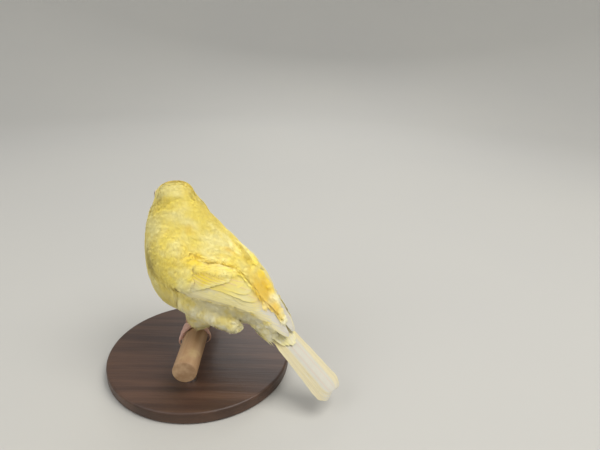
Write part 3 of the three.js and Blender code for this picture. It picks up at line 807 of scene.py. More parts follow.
# A long feather as a cambered blade. place(t) gives its shaft's points and the way out of the surface there.
def vane(place, halfWidth, leading, roll=0.0, bluntness=0.82, white=1.0):
    t = 1 - (1 - np.linspace(0, 1, vaneSizes["steps"])) ** 1.35
    point, out = place(t)
    along = unit(place(np.clip(t + 0.02, 0, 1))[0] - place(np.clip(t - 0.02, 0, 1))[0])
    across = unit(np.cross(out, along))
    blade = unit(np.cross(along, across))
    reach = np.concatenate([[0], np.cumsum(np.linalg.norm(np.diff(point, axis=0), axis=-1))])
    tipward = np.clip((t - bluntness) / (1 - bluntness), 0, 1)
    width = halfWidth * mix(0.5, 1.0, smooth(t / 0.3)) * np.sqrt(1 - 0.95 * tipward ** 2)
    s = np.linspace(-1, 1, vaneSizes["columns"])[None]
    frayed = 1 + rng.normal(0, 0.022, (len(t), 1)) * np.abs(s) ** 3
    split = np.zeros((len(t), 1))
    split[rng.integers(5, len(t) - 2)] = 0.16 * rng.random()
    offset = s * width[:, None] * frayed * (1 - split * np.clip(rng.choice([-1, 1]) * s, 0, 1) ** 2)
    lift = roll * s * width[:, None] / halfWidth - vaneSizes["camber"] * s ** 2 * (width[:, None] / halfWidth)
    ridge = 0.14 * np.exp(-((s * leading - vaneSizes["shaft"]) / 0.07) ** 2) * (1 - t[:, None])
    half = vaneSizes["thickness"] / 2 * mix(1.0, 0.55, t)[:, None] * (1 - 0.55 * s ** 2)
    middle = point[:, None] + across[:, None] * offset[..., None]
    top = middle + blade[:, None] * (lift + half + ridge)[..., None]
    low = middle + blade[:, None] * (lift - half)[..., None]
    n, m = len(t), s.shape[1]
    grid = np.arange(n * m).reshape(n, m)
    a, b, c, d = (part.ravel() for part in (grid[:-1, :-1], grid[:-1, 1:], grid[1:, 1:], grid[1:, :-1]))
    under = n * m
    faces = [np.stack([a, b, c], -1), np.stack([a, c, d], -1)]
    faces += [np.stack([a, c, b], -1) + under, np.stack([a, d, c], -1) + under]
    rim = np.concatenate([grid[0, :], grid[1:, -1], grid[-1, -2::-1], grid[-2:0:-1, 0]])
    following = np.roll(rim, -1)
    faces.append(np.stack([rim, rim + under, following + under], -1))
    faces.append(np.stack([rim, following + under, following], -1))
    faces = np.concatenate(faces)
    slant = reach[:, None] - np.abs(s * leading - vaneSizes["shaft"]) * width[:, None] * 0.9
    values = {
        "across": np.tile((s * leading + 0 * t[:, None]).ravel(), 2),
        "along": np.tile((t[:, None] + 0 * s).ravel(), 2),
        "barb": np.tile((slant / vaneSizes["barb"] * 2 * np.pi).ravel(), 2),
        "tone": np.full(2 * n * m, rng.random()),
        "white": np.full(2 * n * m, white),
    }
    sunk = low - blade[:, None] * vaneSizes["deep"]
    deepVanes.append((np.concatenate([top, sunk]).reshape(-1, 3), faces))
    return np.concatenate([top, low]).reshape(-1, 3), faces, values


# Each feather has a cell of the map, with its upper face in one half and its lower face in the other
def cellMap(index, count, values):
    across = int(math.ceil(math.sqrt(count / 2)))
    column, row = index % across, index // across
    size = len(values["along"]) // 2
    face = np.repeat([0, 1], size)
    u = (column + 0.05 + (values["across"] + 1) * 0.2 + face * 0.5) / across
    v = (row + 0.05 + values["along"] * 0.9) / (count // across + 1)
    return np.stack([u, v], -1)


def gathered(name, vanes, slot, material, *nodes):
    points, faces, maps, start = [], [], [], 0
    values = {key: [] for key in vanes[0][2]}
    for index, (vanePoints, vaneFaces, vaneValues) in enumerate(vanes):
        points.append(vanePoints)
        faces.append(vaneFaces + start)
        maps.append(cellMap(index, len(vanes), vaneValues))
        start += len(vanePoints)
        for key, value in vaneValues.items():
            values[key].append(value)
    values = {key: np.concatenate(value) for key, value in values.items()}
    points, faces, uv = (np.concatenate(part) for part in (points, faces, maps))
    piece = bigMesh(name, points, faces, values, uv, material)
    active(piece)
    bpy.ops.object.mode_set(mode="EDIT")
    bpy.ops.mesh.select_all(action="SELECT")
    bpy.ops.mesh.normals_make_consistent(inside=False)
    bpy.ops.object.mode_set(mode="OBJECT")
    bpy.ops.object.shade_smooth_by_angle(angle=radians(40))
    return placed(piece, slot, *nodes)


def bodyVane(side, root, tip, lifts, halfWidth, bow, roll, bluntness, white):
    def place(t):
        at = mix(root[0], tip[0], t)
        angle = side * mix(root[1], tip[1], t ** bow)
        lift = mix(lifts[0], lifts[1], t)
        point = bodyPoint(at, angle, lift)
        return point, bodyPoint(at, angle, lift + 1) - point
    return vane(place, halfWidth, -side, side * roll, bluntness, white)


def primaryReach(f):
    return 1.7 + 0.35 * max(0, 0.25 - f) + 1.75 * max(0, f - 0.3) ** 0.9


# Rows of a wing: count, half width, bow, roll, then root, tip and lifts of the outermost and innermost
wingRows = {
    "primaries": (9, 3.4, 1.7, -0.45, [8.4, 98], [1.7, 12], [0.9, 1.2], [7.7, 82], [2.9, 24], [1.2, 1.4]),
    "secondaries": (6, 3.8, 1.5, -0.45, [7.6, 80], [3.3, 38], [1.1, 1.5], [6.9, 58], [3.8, 26], [1.1, 1.6]),
    "tertials": (3, 4.2, 1.3, -0.45, [6.9, 56], [3.9, 28], [1.2, 1.9], [6.5, 44], [4.9, 24], [1.4, 1.9]),
    "greaterCoverts": (10, 2.6, 1.0, -0.45, [8, 88], [5.9, 84], [1.1, 1.8], [7.3, 50], [5.3, 38], [1.2, 2.2]),
    "primaryCoverts": (5, 1.6, 1, -0.2, [8.5, 97], [6.3, 96], [-0.8, 1.2], [8.2, 88], [6.1, 86], [-0.4, 1.5]),
    "alula": (3, 1.5, 1.0, -0.2, [8.6, 97], [7.3, 99], [-0.9, 1.4], [8.5, 92], [7.0, 93], [-0.6, 1.6]),
}
coverRows = ("greaterCoverts", "primaryCoverts", "alula")
tipShares = {"flight": 0.82, "covers": 0.6}  # where along a feather its tip starts to narrow
whiteness = {"primaries": 1.0, "secondaries": 0.45, "tertials": 0.2}


def wingFeathers(side, label):
    flight, covers = [], []
    for kind, (count, half, bow, roll, rootA, tipA, liftA, rootB, tipB, liftB) in wingRows.items():
        for i in range(count):
            f = i / (count - 1)
            root = [mix(a, b, f) for a, b in zip(rootA, rootB)]
            tip = [mix(a, b, f) for a, b in zip(tipA, tipB)]
            if kind == "primaries":
                tip[0] = primaryReach(f)
            lifts = [mix(a, b, f) + rng.normal(0, 0.04) for a, b in zip(liftA, liftB)]
            row, share = (covers, "covers") if kind in coverRows else (flight, "flight")
            white = whiteness.get(kind, 0.0)
            row.append(bodyVane(side, root, tip, lifts, half, bow, roll, tipShares[share], white))
    return [gathered(f"flight_feathers_{label}", flight, "flight", wingMaterial, f"wing_{label}"),
            gathered(f"wing_coverts_{label}", covers, "flight", coverMaterial, f"wing_{label}")]


def tailVane(root, tip, halfWidth, leading, bluntness=0.9):
    def place(t):
        values = [mix(root[k], tip[k], t) for k in range(3)]
        return tailPoint(*values), np.broadcast_to(tailTop, (len(t), 3))
    return vane(place, halfWidth, leading, bluntness=bluntness)


tailCoverts = {
    "rings": 3,
    "count": 6,
    "reachOver": 19,
    "reachUnder": 25,
    "ringStep": 5.0,
    "rootSpread": 4.6,
    "tipSpread": 3.4,
    "halfWidth": 2.3,
    "bluntness": 0.5,
}


def makeTail():
    feathers, covers = [], []
    for side in (-1, 1):
        for k in range(tail["pairs"]):
            f = k / (tail["pairs"] - 1)
            over = 0.17 if side < 0 else 0
            root = [3, side * mix(0.7, 2.6, f), mix(0.6, -0.4, f) + over]
            reach = tail["length"] + tail["outerExtra"] * f ** 1.5 - 2.2 * f ** 6
            tip = [reach, side * mix(0.9, tail["spread"], f), mix(0.75, -1.0, f) + over]
            feathers.append(tailVane(root, tip, tail["halfWidth"], -side))
    for above in (1, -1):
        longest = tailCoverts["reachOver"] if above > 0 else tailCoverts["reachUnder"]
        for ring in range(tailCoverts["rings"]):
            for i in range(tailCoverts["count"]):
                f = 2 * i / (tailCoverts["count"] - 1) - 1
                reach = longest - tailCoverts["ringStep"] * ring - 3 * abs(f)
                rootHeight = above * (3.0 + 0.5 * ring - 1.5 * f * f) + 0.1 * (i % 2)
                tipHeight = above * (1.6 + 0.45 * ring - 0.8 * f * f) + 0.1 * (i % 2)
                root = [-1.5 - ring, tailCoverts["rootSpread"] * f, rootHeight]
                tip = [reach, tailCoverts["tipSpread"] * f, tipHeight]
                covers.append(tailVane(root, tip, tailCoverts["halfWidth"], 1, tailCoverts["bluntness"]))
    return [gathered("tail_feathers", feathers, "flight", tailMaterial, "tail"),
            gathered("tail_coverts", covers, "flight", coverMaterial, "tail")]


bigFeathers = []
for side, label in sides:
    bigFeathers += wingFeathers(side, label)
print("wings")
bigFeathers += makeTail()
print("tail", sum(len(piece.data.polygons) for piece in bigFeathers))

# Small feathers. They follow a guide: the skin with the big feathers laid on it, as one smooth surface.


def treeOf(pieces):
    points, faces, start = [], [], 0
    for piece in pieces:
        mesh = piece.data
        mesh.calc_loop_triangles()
        corners = np.zeros(len(mesh.loop_triangles) * 3, int)
        mesh.loop_triangles.foreach_get("vertices", corners)
        points.append(pointsOf(mesh))
        faces.append(corners.reshape(-1, 3) + start)
        start += len(mesh.vertices)
    return BVHTree.FromPolygons(np.concatenate(points).tolist(), np.concatenate(faces).tolist())


# Metres
guideSizes = {"voxel": 0.0007, "smoothing": 8}


def makeGuide():
    copy = skin.data.copy()
    copy.materials.clear()
    guide = newObject("guide", copy)
    start, points, faces = 0, [], []
    for vanePoints, vaneFaces in deepVanes:
        points.append(vanePoints)
        faces.append(vaneFaces + start)
        start += len(vanePoints)
    deep = bigMesh("deep", np.concatenate(points), np.concatenate(faces), {}, None, coverMaterial)
    active(guide, deep)
    bpy.ops.object.join()
    applied(guide, "REMESH", mode="VOXEL", voxel_size=guideSizes["voxel"])
    applied(guide, "SMOOTH", factor=0.6, iterations=guideSizes["smoothing"])
    return guide


guide = makeGuide()
guideTree = treeOf([guide])
skinTree = treeOf([skin])
featherTree = treeOf(bigFeathers)
print("guide", len(guide.data.polygons))


def onGuide(points):
    where, normals, off = np.empty_like(points), np.empty_like(points), np.empty(len(points))
    for i, point in enumerate(toWorld(points)):
        spot, normal = guideTree.find_nearest(Vector(point))[:2]
        where[i], normals[i] = spot, normal
        off[i] = skinTree.find_nearest(spot)[3] * 1000
    return toBird(where), turned(normals, (0, 0, 1), -birdTurn), off


# The direction that feathers lie in
def lie(points, normals):
    station, angle, direction = stationOf(points)
    fromBill = unit(points - headPoint(12.5, 0, -1.5))
    flow = mix(-direction, fromBill, smooth(points[:, 2], 55, 66)[:, None])
    # beside the back they reach out over the wing's inner edge
    angle = np.abs(angle)
    beside = smooth(angle, 10, 28) * smooth(angle, 75, 55)
    outward = beside * smooth(station, 8.4, 7.0) * smooth(station, 3.4, 4.4)
    flow = flow + np.stack([0 * angle, np.sign(points[:, 1]) * 0.85 * outward, 0 * angle], -1)
    low = smooth(points[:, 2], 20, 9)[:, None] * smooth(points[:, 0], -26, -14)[:, None]
    flow = mix(flow, np.array([-0.55, 0, -0.83]), low)
    return unit(flow - normals * dot(flow, normals))


def scattered(count):
    mesh = guide.data
    mesh.calc_loop_triangles()
    corners = np.zeros(len(mesh.loop_triangles) * 3, int)
    mesh.loop_triangles.foreach_get("vertices", corners)
    a, b, c = np.moveaxis(toBird(pointsOf(mesh))[corners.reshape(-1, 3)], 1, 0)
    cross = np.cross(b - a, c - a)
    area = np.linalg.norm(cross, axis=-1)
    chosen = rng.choice(len(area), size=count, p=area / area.sum())
    share = rng.random((count, 2))
    share = np.where(share.sum(1, keepdims=True) > 1, 1 - share, share)
    spots = a[chosen] + (b - a)[chosen] * share[:, :1] + (c - a)[chosen] * share[:, 1:]
    return spots, unit(cross[chosen])


# At most one root in each cell of a grid
def thinned(spots, spacing):
    keep = np.zeros(len(spots), bool)
    for size in np.unique(spacing):
        members = np.flatnonzero(spacing == size)
        cells = np.floor(spots[members] / size).astype(int)
        keep[members[np.unique(cells, axis=0, return_index=True)[1]]] = True
    return keep


# Metres: how far to look for a big feather over a root and how near one may be, how far off the skin a
# root may be on the body and on the bridge beside a big feather, and how far it stays from that feather
rooting = {"look": 0.006, "over": 0.0013, "onSkin": 0.0008, "onBridge": 0.0032, "beside": 0.0004}


# Roots stand on the body and on the bridge beside a big feather, not on or close under one
def uncovered(spots, normals):
    free = np.zeros(len(spots), bool)
    directions = turned(normals, (0, 0, 1), birdTurn)
    for i, (spot, way) in enumerate(zip(toWorld(spots), directions)):
        spot, way = Vector(spot), Vector(way)
        reach = featherTree.ray_cast(spot + way * 0.0001, way, rooting["look"])[3]
        if reach is None or reach > rooting["over"]:
            off = skinTree.find_nearest(spot)[3]
            beside = featherTree.find_nearest(spot)[3] > rooting["beside"]
            free[i] = off < rooting["onSkin"] or off < rooting["onBridge"] and beside
    return free


# A value along a tuft, from its values at the root, the middle and the tip
def curved(values, t):
    start, middle, end = values
    return start * (1 - t) * (1 - 2 * t) + middle * 4 * t * (1 - t) + end * t * (2 * t - 1)


# Small feathers: each is a thin palm from one root point that splits into tapered barbs.
# Spines of three points, ways out and ways along give each one's place.
def tuftMesh(spine, out, flow, height, length, width, barbs):
    count = len(length)
    s = np.linspace(-1, 1, barbs + 1)[None]
    rows = []
    for t, share in ((0.34, 0.78), (0.6, 1.0)):
        side = unit(np.cross(curved(out, t), curved(flow, t)))
        normal = unit(curved(out, t))
        lateral = s * (width * share / 2)[:, None]
        lift = curved(height, t)[:, None] - coat["camber"] * s ** 2 * (width / coat["width"])[:, None]
        middle = curved(spine, t)[:, None] + side[:, None] * lateral[..., None]
        middle = middle + normal[:, None] * lift[..., None]
        thick = normal[:, None] * 0.03
        rows.append(np.concatenate([middle + thick, (middle - thick)[:, 1:-1]], 1))
    middles = (s[:, 1:] + s[:, :-1]) / 2
    shorter = 0.26 * middles ** 2 + rng.random((count, barbs)) * 0.26
    side = unit(np.cross(out[2], flow[2]))
    lateral = middles * (width * 0.52)[:, None] + rng.normal(0, 0.1, (count, barbs))
    lift = height[2][:, None] - coat["camber"] * middles ** 2 * (width / coat["width"])[:, None]
    lift = lift + rng.normal(0, 0.05, (count, barbs))
    tips = (spine[2][:, None] + side[:, None] * lateral[..., None] + out[2][:, None] * lift[..., None]
            - flow[2][:, None] * (shorter * length[:, None])[..., None])
    root = (spine[0] + out[0] * height[0][:, None])[:, None]
    points = np.concatenate([root, rows[0], rows[1], tips], 1)
    top, under = [], []
    for row in (0, 1):
        first = 1 + row * 2 * barbs
        top.append([first + c for c in range(barbs + 1)])
        under.append([first] + [first + barbs + c for c in range(1, barbs)] + [first + barbs])
    pattern = []
    for c in range(barbs):
        tip = 1 + 4 * barbs + c
        pattern += [(0, top[0][c + 1], top[0][c]), (0, under[0][c], under[0][c + 1])]
        for (near, far), flip in ((top, False), (under, True)):
            corners = (near[c], near[c + 1], far[c + 1], far[c])
            halves = (corners[:3], (corners[0], *corners[2:]), (far[c], far[c + 1], tip))
            for face in halves:
                pattern.append(face[::-1] if flip else face)
        if c > 0:
            pattern.append((top[1][c], tip, under[1][c]))
        if c < barbs - 1:
            pattern.append((top[1][c + 1], under[1][c + 1], tip))
    along = np.array([0] + [0.34] * (2 * barbs) + [0.6] * (2 * barbs) + [1.0] * barbs)
    rowAcross = list(s[0]) + list(s[0][1:-1])
    across = np.array([0] + rowAcross * 2 + list(middles[0]))
    return points, np.array(pattern), along, across


# Three points down a small feather's spine on the guide, with the ways out and along there and how far
# it is off the skin. Neighbours sway together.
def frames(start, normal, length):
    turnBy = rng.normal(0, 0.1, len(start))[:, None]
    sway = np.sin(start @ np.array([0.31, 0.23, 0.27]) * 1.7)
    sway = sway * np.cos(start @ np.array([-0.22, 0.36, 0.19]) * 1.3)
    turnBy = turnBy + 0.12 * sway[:, None]

    def way(spot, out):
        flow = lie(spot, out)
        return unit(flow + np.cross(out, flow) * turnBy)

    spine, out, off = [start], [normal], [np.zeros(len(start))]
    flow = [way(start, normal)]
    for _ in range(2):
        spot, normalThere, away = onGuide(spine[-1] + flow[-1] * length[:, None] * 0.5)
        spine.append(spot)
        out.append(normalThere)
        off.append(away)
        flow.append(way(spot, normalThere))
    return spine, out, flow, off


def makeTufts(name, start, normal, length, width, fluffy, barbs):
    spine, out, flow, off = frames(start, normal, length)
    depth = coatDepth(start) * rng.uniform(0.8, 1.05, len(start))
    onWing = [smooth(value, 0.5, 1.8) for value in off]
    depth = depth * mix(1.0, rng.uniform(0.9, 2.2, len(start)), fluffy)
    height = [-0.25 + 0 * depth, mix(depth * 0.66, 0.3, onWing[1]), mix(depth, 0.3, onWing[2])]
    points, pattern, along, across = tuftMesh(spine, out, flow, height, length, width, barbs)
    each = points.shape[1]
    tone = rng.random(len(start))
    home = unwrap(start)
    offset = np.stack([across * 0.0014, (along - 0.5) * 0.0028], -1)
    made = []
    perPiece = int(coat["piece"] / len(pattern))
    for n, low in enumerate(range(0, len(start), perPiece)):
        high = min(len(start), low + perPiece)
        faces = (pattern[None] + each * np.arange(high - low)[:, None, None]).reshape(-1, 3)
        values = {"along": np.tile(along, high - low), "tone": np.repeat(tone[low:high], each)}
        uv = (home[low:high, None] + offset[None]).reshape(-1, 2)
        corners = points[low:high].reshape(-1, 3)
        piece = bigMesh(f"{name}_{n + 1}", corners, faces, values, uv, coatMaterial, flat=True)
        made.append(placed(piece, "plumage", "torso"))
    return made


# Roots of the small feathers: closer on the head and the face, and none in the bill or an eye
def rootsKept(spots, normals, fromBill, fromEye, face):
    spacing = np.full(len(spots), coat["bodySpacing"])
    spacing[spots[:, 2] > 58] = coat["headSpacing"]
    spacing[face] = coat["faceSpacing"]
    keep = thinned(spots, spacing)
    offset = spots - headPoint(billForward - 0.2, 0, 0)
    forward = dot(offset, headForward)
    fromAxis = np.linalg.norm(offset - headForward * forward, axis=-1)
    inBill = (forward[:, 0] > -0.2) & (fromAxis < 2.9)
    keep &= (fromEye > eye["radius"] + eye["margin"]) & (fromBill > 1.2) & ~inBill
    kept = np.flatnonzero(keep)
    keep[kept] = uncovered(spots[kept], normals[kept])
    return keep


# Feathers are longer round the edge of the folded arm, and beside the back, where they lie on the wing
def lengthened(station, angle):
    angle = np.abs(angle)
    behind = (station - wingArm["at"]) / wingArm["length"]
    arm = np.hypot(behind, (angle - wingArm["angle"]) / wingArm["spread"])
    armEdge = smooth(arm, 0.5, 0.8) * smooth(arm, 1.4, 1.1) * smooth(station, 7.6, 7.0)
    besideBack = smooth(angle, 5, 12) * smooth(angle, 36, 26)
    besideBack = besideBack * smooth(station, 7.4, 6.8) * smooth(station, 3.4, 4.2)
    return (1 + 0.45 * armEdge) * (1 + 0.4 * besideBack)


# Near an eye they end at its rim
def stoppedAtEyes(spots, normals, length):
    flow = lie(spots, normals)
    rim = eye["radius"] + eye["margin"]
    for side in (1, -1):
        toEye = eyeCentre(side) - spots
        along = dot(toEye, flow)[:, 0]
        across = np.sum(toEye ** 2, -1) - along ** 2
        entry = along - np.sqrt(np.maximum(rim ** 2 - across, 0))
        shorter = np.minimum(length, np.maximum(entry, 0.35))
        length = np.where((along > 0) & (across < rim ** 2), shorter, length)
    return length


def makeCoat():
    spots, normals = scattered(coat["candidates"])
    fromBill, fromEye = fromFace(spots)
    face = np.minimum(fromBill, fromEye + 3.5) < 8.0
    keep = rootsKept(spots, normals, fromBill, fromEye, face)
    size = smooth(np.minimum(fromBill, fromEye + 5.0), 2.0, 24.0)
    length = mix(coat["faceLength"], coat["length"], size) * rng.uniform(0.85, 1.15, len(spots))
    width = mix(coat["faceWidth"], coat["width"], size) * rng.uniform(0.85, 1.15, len(spots))
    station, angle, _ = stationOf(spots)
    fluffy = smooth(np.abs(angle), 105, 140) * smooth(spots[:, 2], 38, 22) * smooth(spots[:, 0], -2, -14)
    length *= mix(1.0, 1.5, fluffy) * lengthened(station, angle)
    near = np.flatnonzero(keep & (fromEye < 7))
    length[near] = stoppedAtEyes(spots[near], normals[near], length[near])
    made = []
    groups = (("coat_face", keep & face), ("coat_body", keep & ~face))
    for (name, chosen), barbs in zip(groups, coat["barbs"]):
        order = np.flatnonzero(chosen)
        order = order[np.argsort(station[order])]
        print(name, len(order))
        sizes = (length[order], width[order], fluffy[order])
        made += makeTufts(name, spots[order], normals[order], *sizes, barbs)
    return made


coatPieces = makeCoat()
bpy.data.objects.remove(guide)
print("coat", sum(len(piece.data.polygons) for piece in coatPieces))

# Bill, eyes and lids

billBase = billForward + gap
bill = {
    "length": 8.9,
    "lowerLength": 8.2,
    "halfWidth": 3.0,
    "culmen": 3.1,
    "depth": 2.7,
    "drop": -0.5,
    "low": 0.3,  # how far it sits below the head's axis
    "rooted": 0.8,  # how far it goes in under the feathers
    "nostril": 0.5,
    "nostrilForward": 1.1,
    "nostrilOut": 1.95,
    "nostrilHeight": 1.9,
}


def mandible(name, length, halfWidths, profile, direction):
    t = np.linspace(0, 1, 26)[:, None] ** 0.9
    turn = np.linspace(0, np.pi, 25)[None]
    forward = billBase - bill["rooted"] + (length + bill["rooted"]) * t
    gape = bill["drop"] * t ** 2 + 0.35 * (1 - t) ** 3
    left = halfWidths(t) * np.cos(turn)
    height = gape + direction * (0.07 + profile(t) * np.sin(turn) ** 0.85)
    return loft(name, headPoint(forward + 0 * turn, left, height - bill["low"]), horn)


def tapered(size, power):
    return lambda t: size * (1 - t ** power) + 0.12


def makeBill():
    width, culmen = tapered(bill["halfWidth"], 1.25), tapered(bill["culmen"], 1.75)
    upper = mandible("bill_top", bill["length"], width, culmen, 1)
    for side in (1, -1):
        forward, out = billBase + bill["nostrilForward"], side * bill["nostrilOut"]
        place = toWorld(headPoint(forward, out, bill["nostrilHeight"]))
        size = bill["nostril"] / 1000
        bpy.ops.object.select_all(action="DESELECT")
        bpy.ops.mesh.primitive_uv_sphere_add(segments=20, ring_count=12, radius=size, location=place)
        cutter = bpy.context.object
        applied(upper, "BOOLEAN", operation="DIFFERENCE", object=cutter, solver="EXACT")
        bpy.data.objects.remove(cutter)
    width, depth = tapered(bill["halfWidth"] - 0.25, 1.3), tapered(bill["depth"], 1.5)
    lower = mandible("bill_under", bill["lowerLength"], width, depth, -1)
    for piece, node in ((upper, "bill_upper"), (lower, "bill_lower")):
        piece.data.shade_smooth()
        placed(piece, "horn", node)


makeBill()
lids = lidMaterial()


def makeEyeball(side, label):
    bpy.ops.object.select_all(action="DESELECT")
    bpy.ops.mesh.primitive_uv_sphere_add(segments=48, ring_count=32, radius=eye["radius"] / 1000)
    ball = bpy.context.object
    ball.name = f"eyeball_{label}"
    ball.location = toWorld(eyeCentre(side))
    bpy.ops.object.transform_apply(location=True, rotation=True, scale=True)
    ball.data.shade_smooth()
    ball.data.materials.append(eyeMaterial(side))
    placed(ball, "eye", f"eye_{label}")


# The ring of bare lid round an eye, a little longer than it is high
def makeLid(side, label):
    centre, outward = eyeCentre(side), eyeOutward(side)
    turn = np.linspace(0, 2 * np.pi, 48, endpoint=False)[:, None]
    ring = np.linspace(0, 2 * np.pi, 12, endpoint=False)[None]
    upward = unit(headUp - outward * np.dot(headUp, outward))
    front = np.cross(upward, outward)
    wobble = 1 + 0.04 * np.sin(turn * 9) * np.cos(ring)
    radius = eye["ring"] + eye["lid"] * np.cos(ring) * wobble
    height = eye["rim"] + eye["lid"] * np.sin(ring) * wobble
    spot = centre + front * (radius * np.cos(turn) * 1.04)[..., None]
    spot = spot + upward * (radius * np.sin(turn) * 0.94)[..., None]
    spot = spot + outward * (height + 0 * turn)[..., None]
    n, m = spot.shape[:2]
    faces = [(i * m + j, i * m + (j + 1) % m, (i + 1) % n * m + (j + 1) % m, (i + 1) % n * m + j)
             for i in range(n) for j in range(m)]
    placed(meshFrom(f"lid_{label}", spot.reshape(-1, 3), faces, lids), "bare_skin")


for side, label in sides:
    makeEyeball(side, label)
    makeLid(side, label)
print("head")

# Legs, toes and claws

# Each toe: degrees round the perch, how far it strays along it, where it starts, and its claw's degrees
toes = {
    "inner": (78, 4.2, 10, 42),
    "middle": (108, 0.4, 10, 44),
    "outer": (84, -3.8, 10, 42),
    "hind": (-74, 0.3, -10, -50),
}


def makeShank(side, label):
    bottom = footTop(side) + [0, 0, 1.2]
    top = anklePoint(side)
    shin = throughPoints([bottom, mix(footTop(side), top, 0.45) + [-0.3, 0, 0.4], top], 60)
    t = np.linspace(0, 1, 60)
    plates = 1 + 0.05 * np.abs(np.sin(t * 9 * np.pi)) ** 0.5
    piece = tube(f"leg_{label}", shin, mix(legs["tarsus"], legs["ankle"], t * t) * plates, 20, legSkin)
    placed(piece, "bare_skin", f"shank_{label}")


def makeFoot(side, label):
    base = -side * legs["spacing"]
    parts = []
    for name, (reach, stray, start, clawReach) in toes.items():
        t = 1 - (1 - np.linspace(0, 1, 64)) ** 1.5
        line = toeGrip(mix(start * 0.2, reach, t), base + side * stray * smooth(t * 1.2), toeRing)
        knuckles = legs["toe"] * (1 + 0.1 * np.cos(6 * np.pi * t)) * mix(1.0, 0.8, t)
        knuckles = knuckles * (1 + 0.045 * np.abs(np.sin(t * 16 * np.pi)) ** 0.5)
        knuckles = knuckles * np.sqrt(1 - 0.96 * np.clip((t - 0.92) / 0.08, 0, 1) ** 2)
        parts.append(tube("toe", line, knuckles, 16, legSkin))
        t = np.linspace(0, 1, 20)
        begin = reach - math.copysign(3, reach)
        ring = mix(toeRing + 0.15, perchRadius + gap + 0.1, t) + 0.7 * np.sin(np.pi * t)
        hook = toeGrip(begin + (clawReach + math.copysign(6, reach)) * t, base + side * stray, ring)
        nail = tube(f"nail_{label}_{name}", hook, mix(0.62, 0.07, t ** 0.8), 14, horn)
        placed(nail, "horn", f"claw_{label}_{name}")
    pad = toeGrip(np.array(0.0), base, toeRing + 0.5)
    middle = throughPoints([pad + [0, 0, -1.1], pad, pad + [0, 0, 1.3]], 12)
    radii = 1.55 * np.sqrt(np.maximum(0.06, 1 - np.linspace(-1, 1, 12) ** 2))
    parts.append(tube("pad", middle, radii, 20, legSkin))
    active(*parts)
    bpy.ops.object.join()
    toePiece = bpy.context.object
    toePiece.name = f"toes_{label}"
    placed(toePiece, "bare_skin", f"foot_{label}")


for side, label in sides:
    makeShank(side, label)
    makeFoot(side, label)
print("feet")

# Stand, perch and room

# Metres
stand = {
    "radius": 0.046,
    "height": 0.006,
    "bevel": 0.0012,
    "rod": 0.0022,
    "rodPlace": 0.023,
    "rodBevel": 0.0001,
    "perchLength": 0.072,
    "perchBevel": 0.0006,
}


def turnedBar(name, radius, length, place, turn, bevel, material, vertices=96):
    bpy.ops.object.select_all(action="DESELECT")
    bpy.ops.mesh.primitive_cylinder_add(vertices=vertices, radius=radius, depth=length, location=place)
    bpy.context.object.rotation_euler = turn
    piece = bpy.context.object
    piece.name = name
    bpy.ops.object.transform_apply(location=True, rotation=True, scale=True)
    applied(piece, "BEVEL", width=bevel, segments=4, limit_method="ANGLE", angle_limit=radians(50))
    bpy.ops.object.shade_smooth_by_angle(angle=radians(35))
    piece.data.materials.append(material)
    return piece


def makeStand():
    upright = (0, 0, 0)
    radius, height = stand["radius"], stand["height"]
    wood = woodMaterial("baseWood", "base", "baseDark", "baseDark", 0, 0.42)
    plinth = turnedBar("plinth", radius, height, (0, 0, height / 2), upright, stand["bevel"], wood, 160)
    placed(plinth, "stand_wood", "stand_base")

    alongPerch = (math.pi / 2, 0, 0)
    radius, length = perchRadius / 1000, stand["perchLength"]
    wood = woodMaterial("perchWood", "wood", "woodDark", "frost", 1, 0.72, 0.8)
    place = (0, 0, perchHeight)
    dowel = turnedBar("dowel", radius, length, place, alongPerch, stand["perchBevel"], wood)
    placed(dowel, "perch_wood", "perch")

    steel = steelMaterial()
    length = perchHeight - radius + 0.0005 - height
    for label, along in (("front", -stand["rodPlace"]), ("back", stand["rodPlace"])):
        place = (0, along, height + length / 2)
        post = turnedBar(f"post_{label}", stand["rod"], length, place, upright, stand["rodBevel"], steel, 48)
        placed(post, "stand_steel", f"stand_rod_{label}")


makeStand()
print("stand")

room = {"radius": 1.3, "height": 0.55, "curve": 0.54}


# The floor curves up into a plain wall all round
def makeFloor():
    bpy.ops.object.select_all(action="DESELECT")
    bpy.ops.mesh.primitive_circle_add(vertices=128, radius=room["radius"], location=(0, 0, room["height"]))
    piece = bpy.context.object
    piece.name = "floor"
    bpy.ops.object.mode_set(mode="EDIT")
    bpy.ops.mesh.select_all(action="SELECT")
    bpy.ops.mesh.extrude_region_move(TRANSFORM_OT_translate={"value": (0, 0, -room["height"])})
    bpy.ops.mesh.edge_face_add()
    bpy.ops.object.mode_set(mode="OBJECT")
    bpy.ops.object.transform_apply(location=True, rotation=True, scale=True)
    applied(piece, "BEVEL", width=room["curve"], segments=24, limit_method="ANGLE", angle_limit=radians(60))
    piece.data.shade_smooth()
    piece.data.materials.append(floorMaterial())


makeFloor()

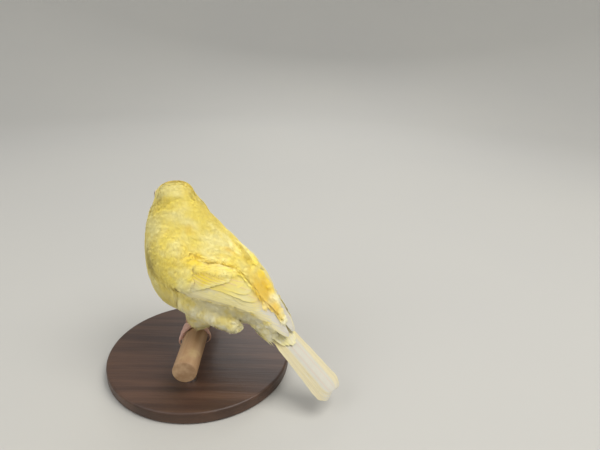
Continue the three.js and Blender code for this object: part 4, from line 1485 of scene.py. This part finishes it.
# Each soft light: its place, its width, its watts and its tint
lights = {
    "key": ((0.42, -0.2, 0.88), 0.6, 6.0, (1.0, 0.98, 0.94)),
    "fill": ((-0.6, -0.45, 0.7), 0.6, 2.2, (0.98, 0.98, 1.0)),
    "rim": ((0.1, 0.8, 0.55), 0.5, 1.6, (1.0, 1.0, 1.0)),
}
sky = {"colour": (0.8, 0.82, 0.85, 1), "strength": 0.6}


def makeLights():
    aim = Vector((0.0, 0.0, 0.06))
    for name, (place, size, watts, tint) in lights.items():
        lamp = bpy.data.lights.new(name, "AREA")
        lamp.size = size
        lamp.energy = watts
        lamp.color = tint
        piece = bpy.data.objects.new(name, lamp)
        bpy.context.scene.collection.objects.link(piece)
        piece.location = place
        piece.rotation_euler = (aim - Vector(place)).to_track_quat("-Z", "Y").to_euler()
    world = bpy.data.worlds.new("room")
    bpy.context.scene.world = world
    world.use_nodes = True
    background = world.node_tree.nodes["Background"]
    background.inputs[0].default_value = sky["colour"]
    background.inputs[1].default_value = sky["strength"]


makeLights()
print("room")

# Its place in metres from the perch's middle, and points of a picture 600 pixels wide
camera = {
    "place": [0.04477, -0.21477, 0.143],
    "width": 600,
    "middle": [300, 225],
    "focal": 492,
    "plumbEnd": [255, 1462],  # where upright lines would meet
    "perchEnd": [295, 29],  # where lines along the perch would meet
}


def sight(pixel):
    across, down = np.subtract(pixel, camera["middle"])
    return unit(np.array([across, -down, -camera["focal"]], float))


def makeCamera():
    lens = bpy.data.cameras.new("view")
    lens.sensor_width = 36
    lens.lens = camera["focal"] / camera["width"] * 36
    lens.clip_start = 0.01
    piece = bpy.data.objects.new("view", lens)
    bpy.context.scene.collection.objects.link(piece)
    up = -sight(camera["plumbEnd"])
    away = sight(camera["perchEnd"])
    away = unit(away - up * np.dot(away, up))
    right = np.cross(away, up)
    turn = Matrix(np.stack([right, away, up], 1)).transposed().to_4x4()
    place = Vector(camera["place"]) + Vector((0, 0, perchHeight))
    piece.matrix_world = Matrix.Translation(place) @ turn
    bpy.context.scene.camera = piece


makeCamera()
bpy.context.scene.view_settings.view_transform = "Standard"
print("camera")
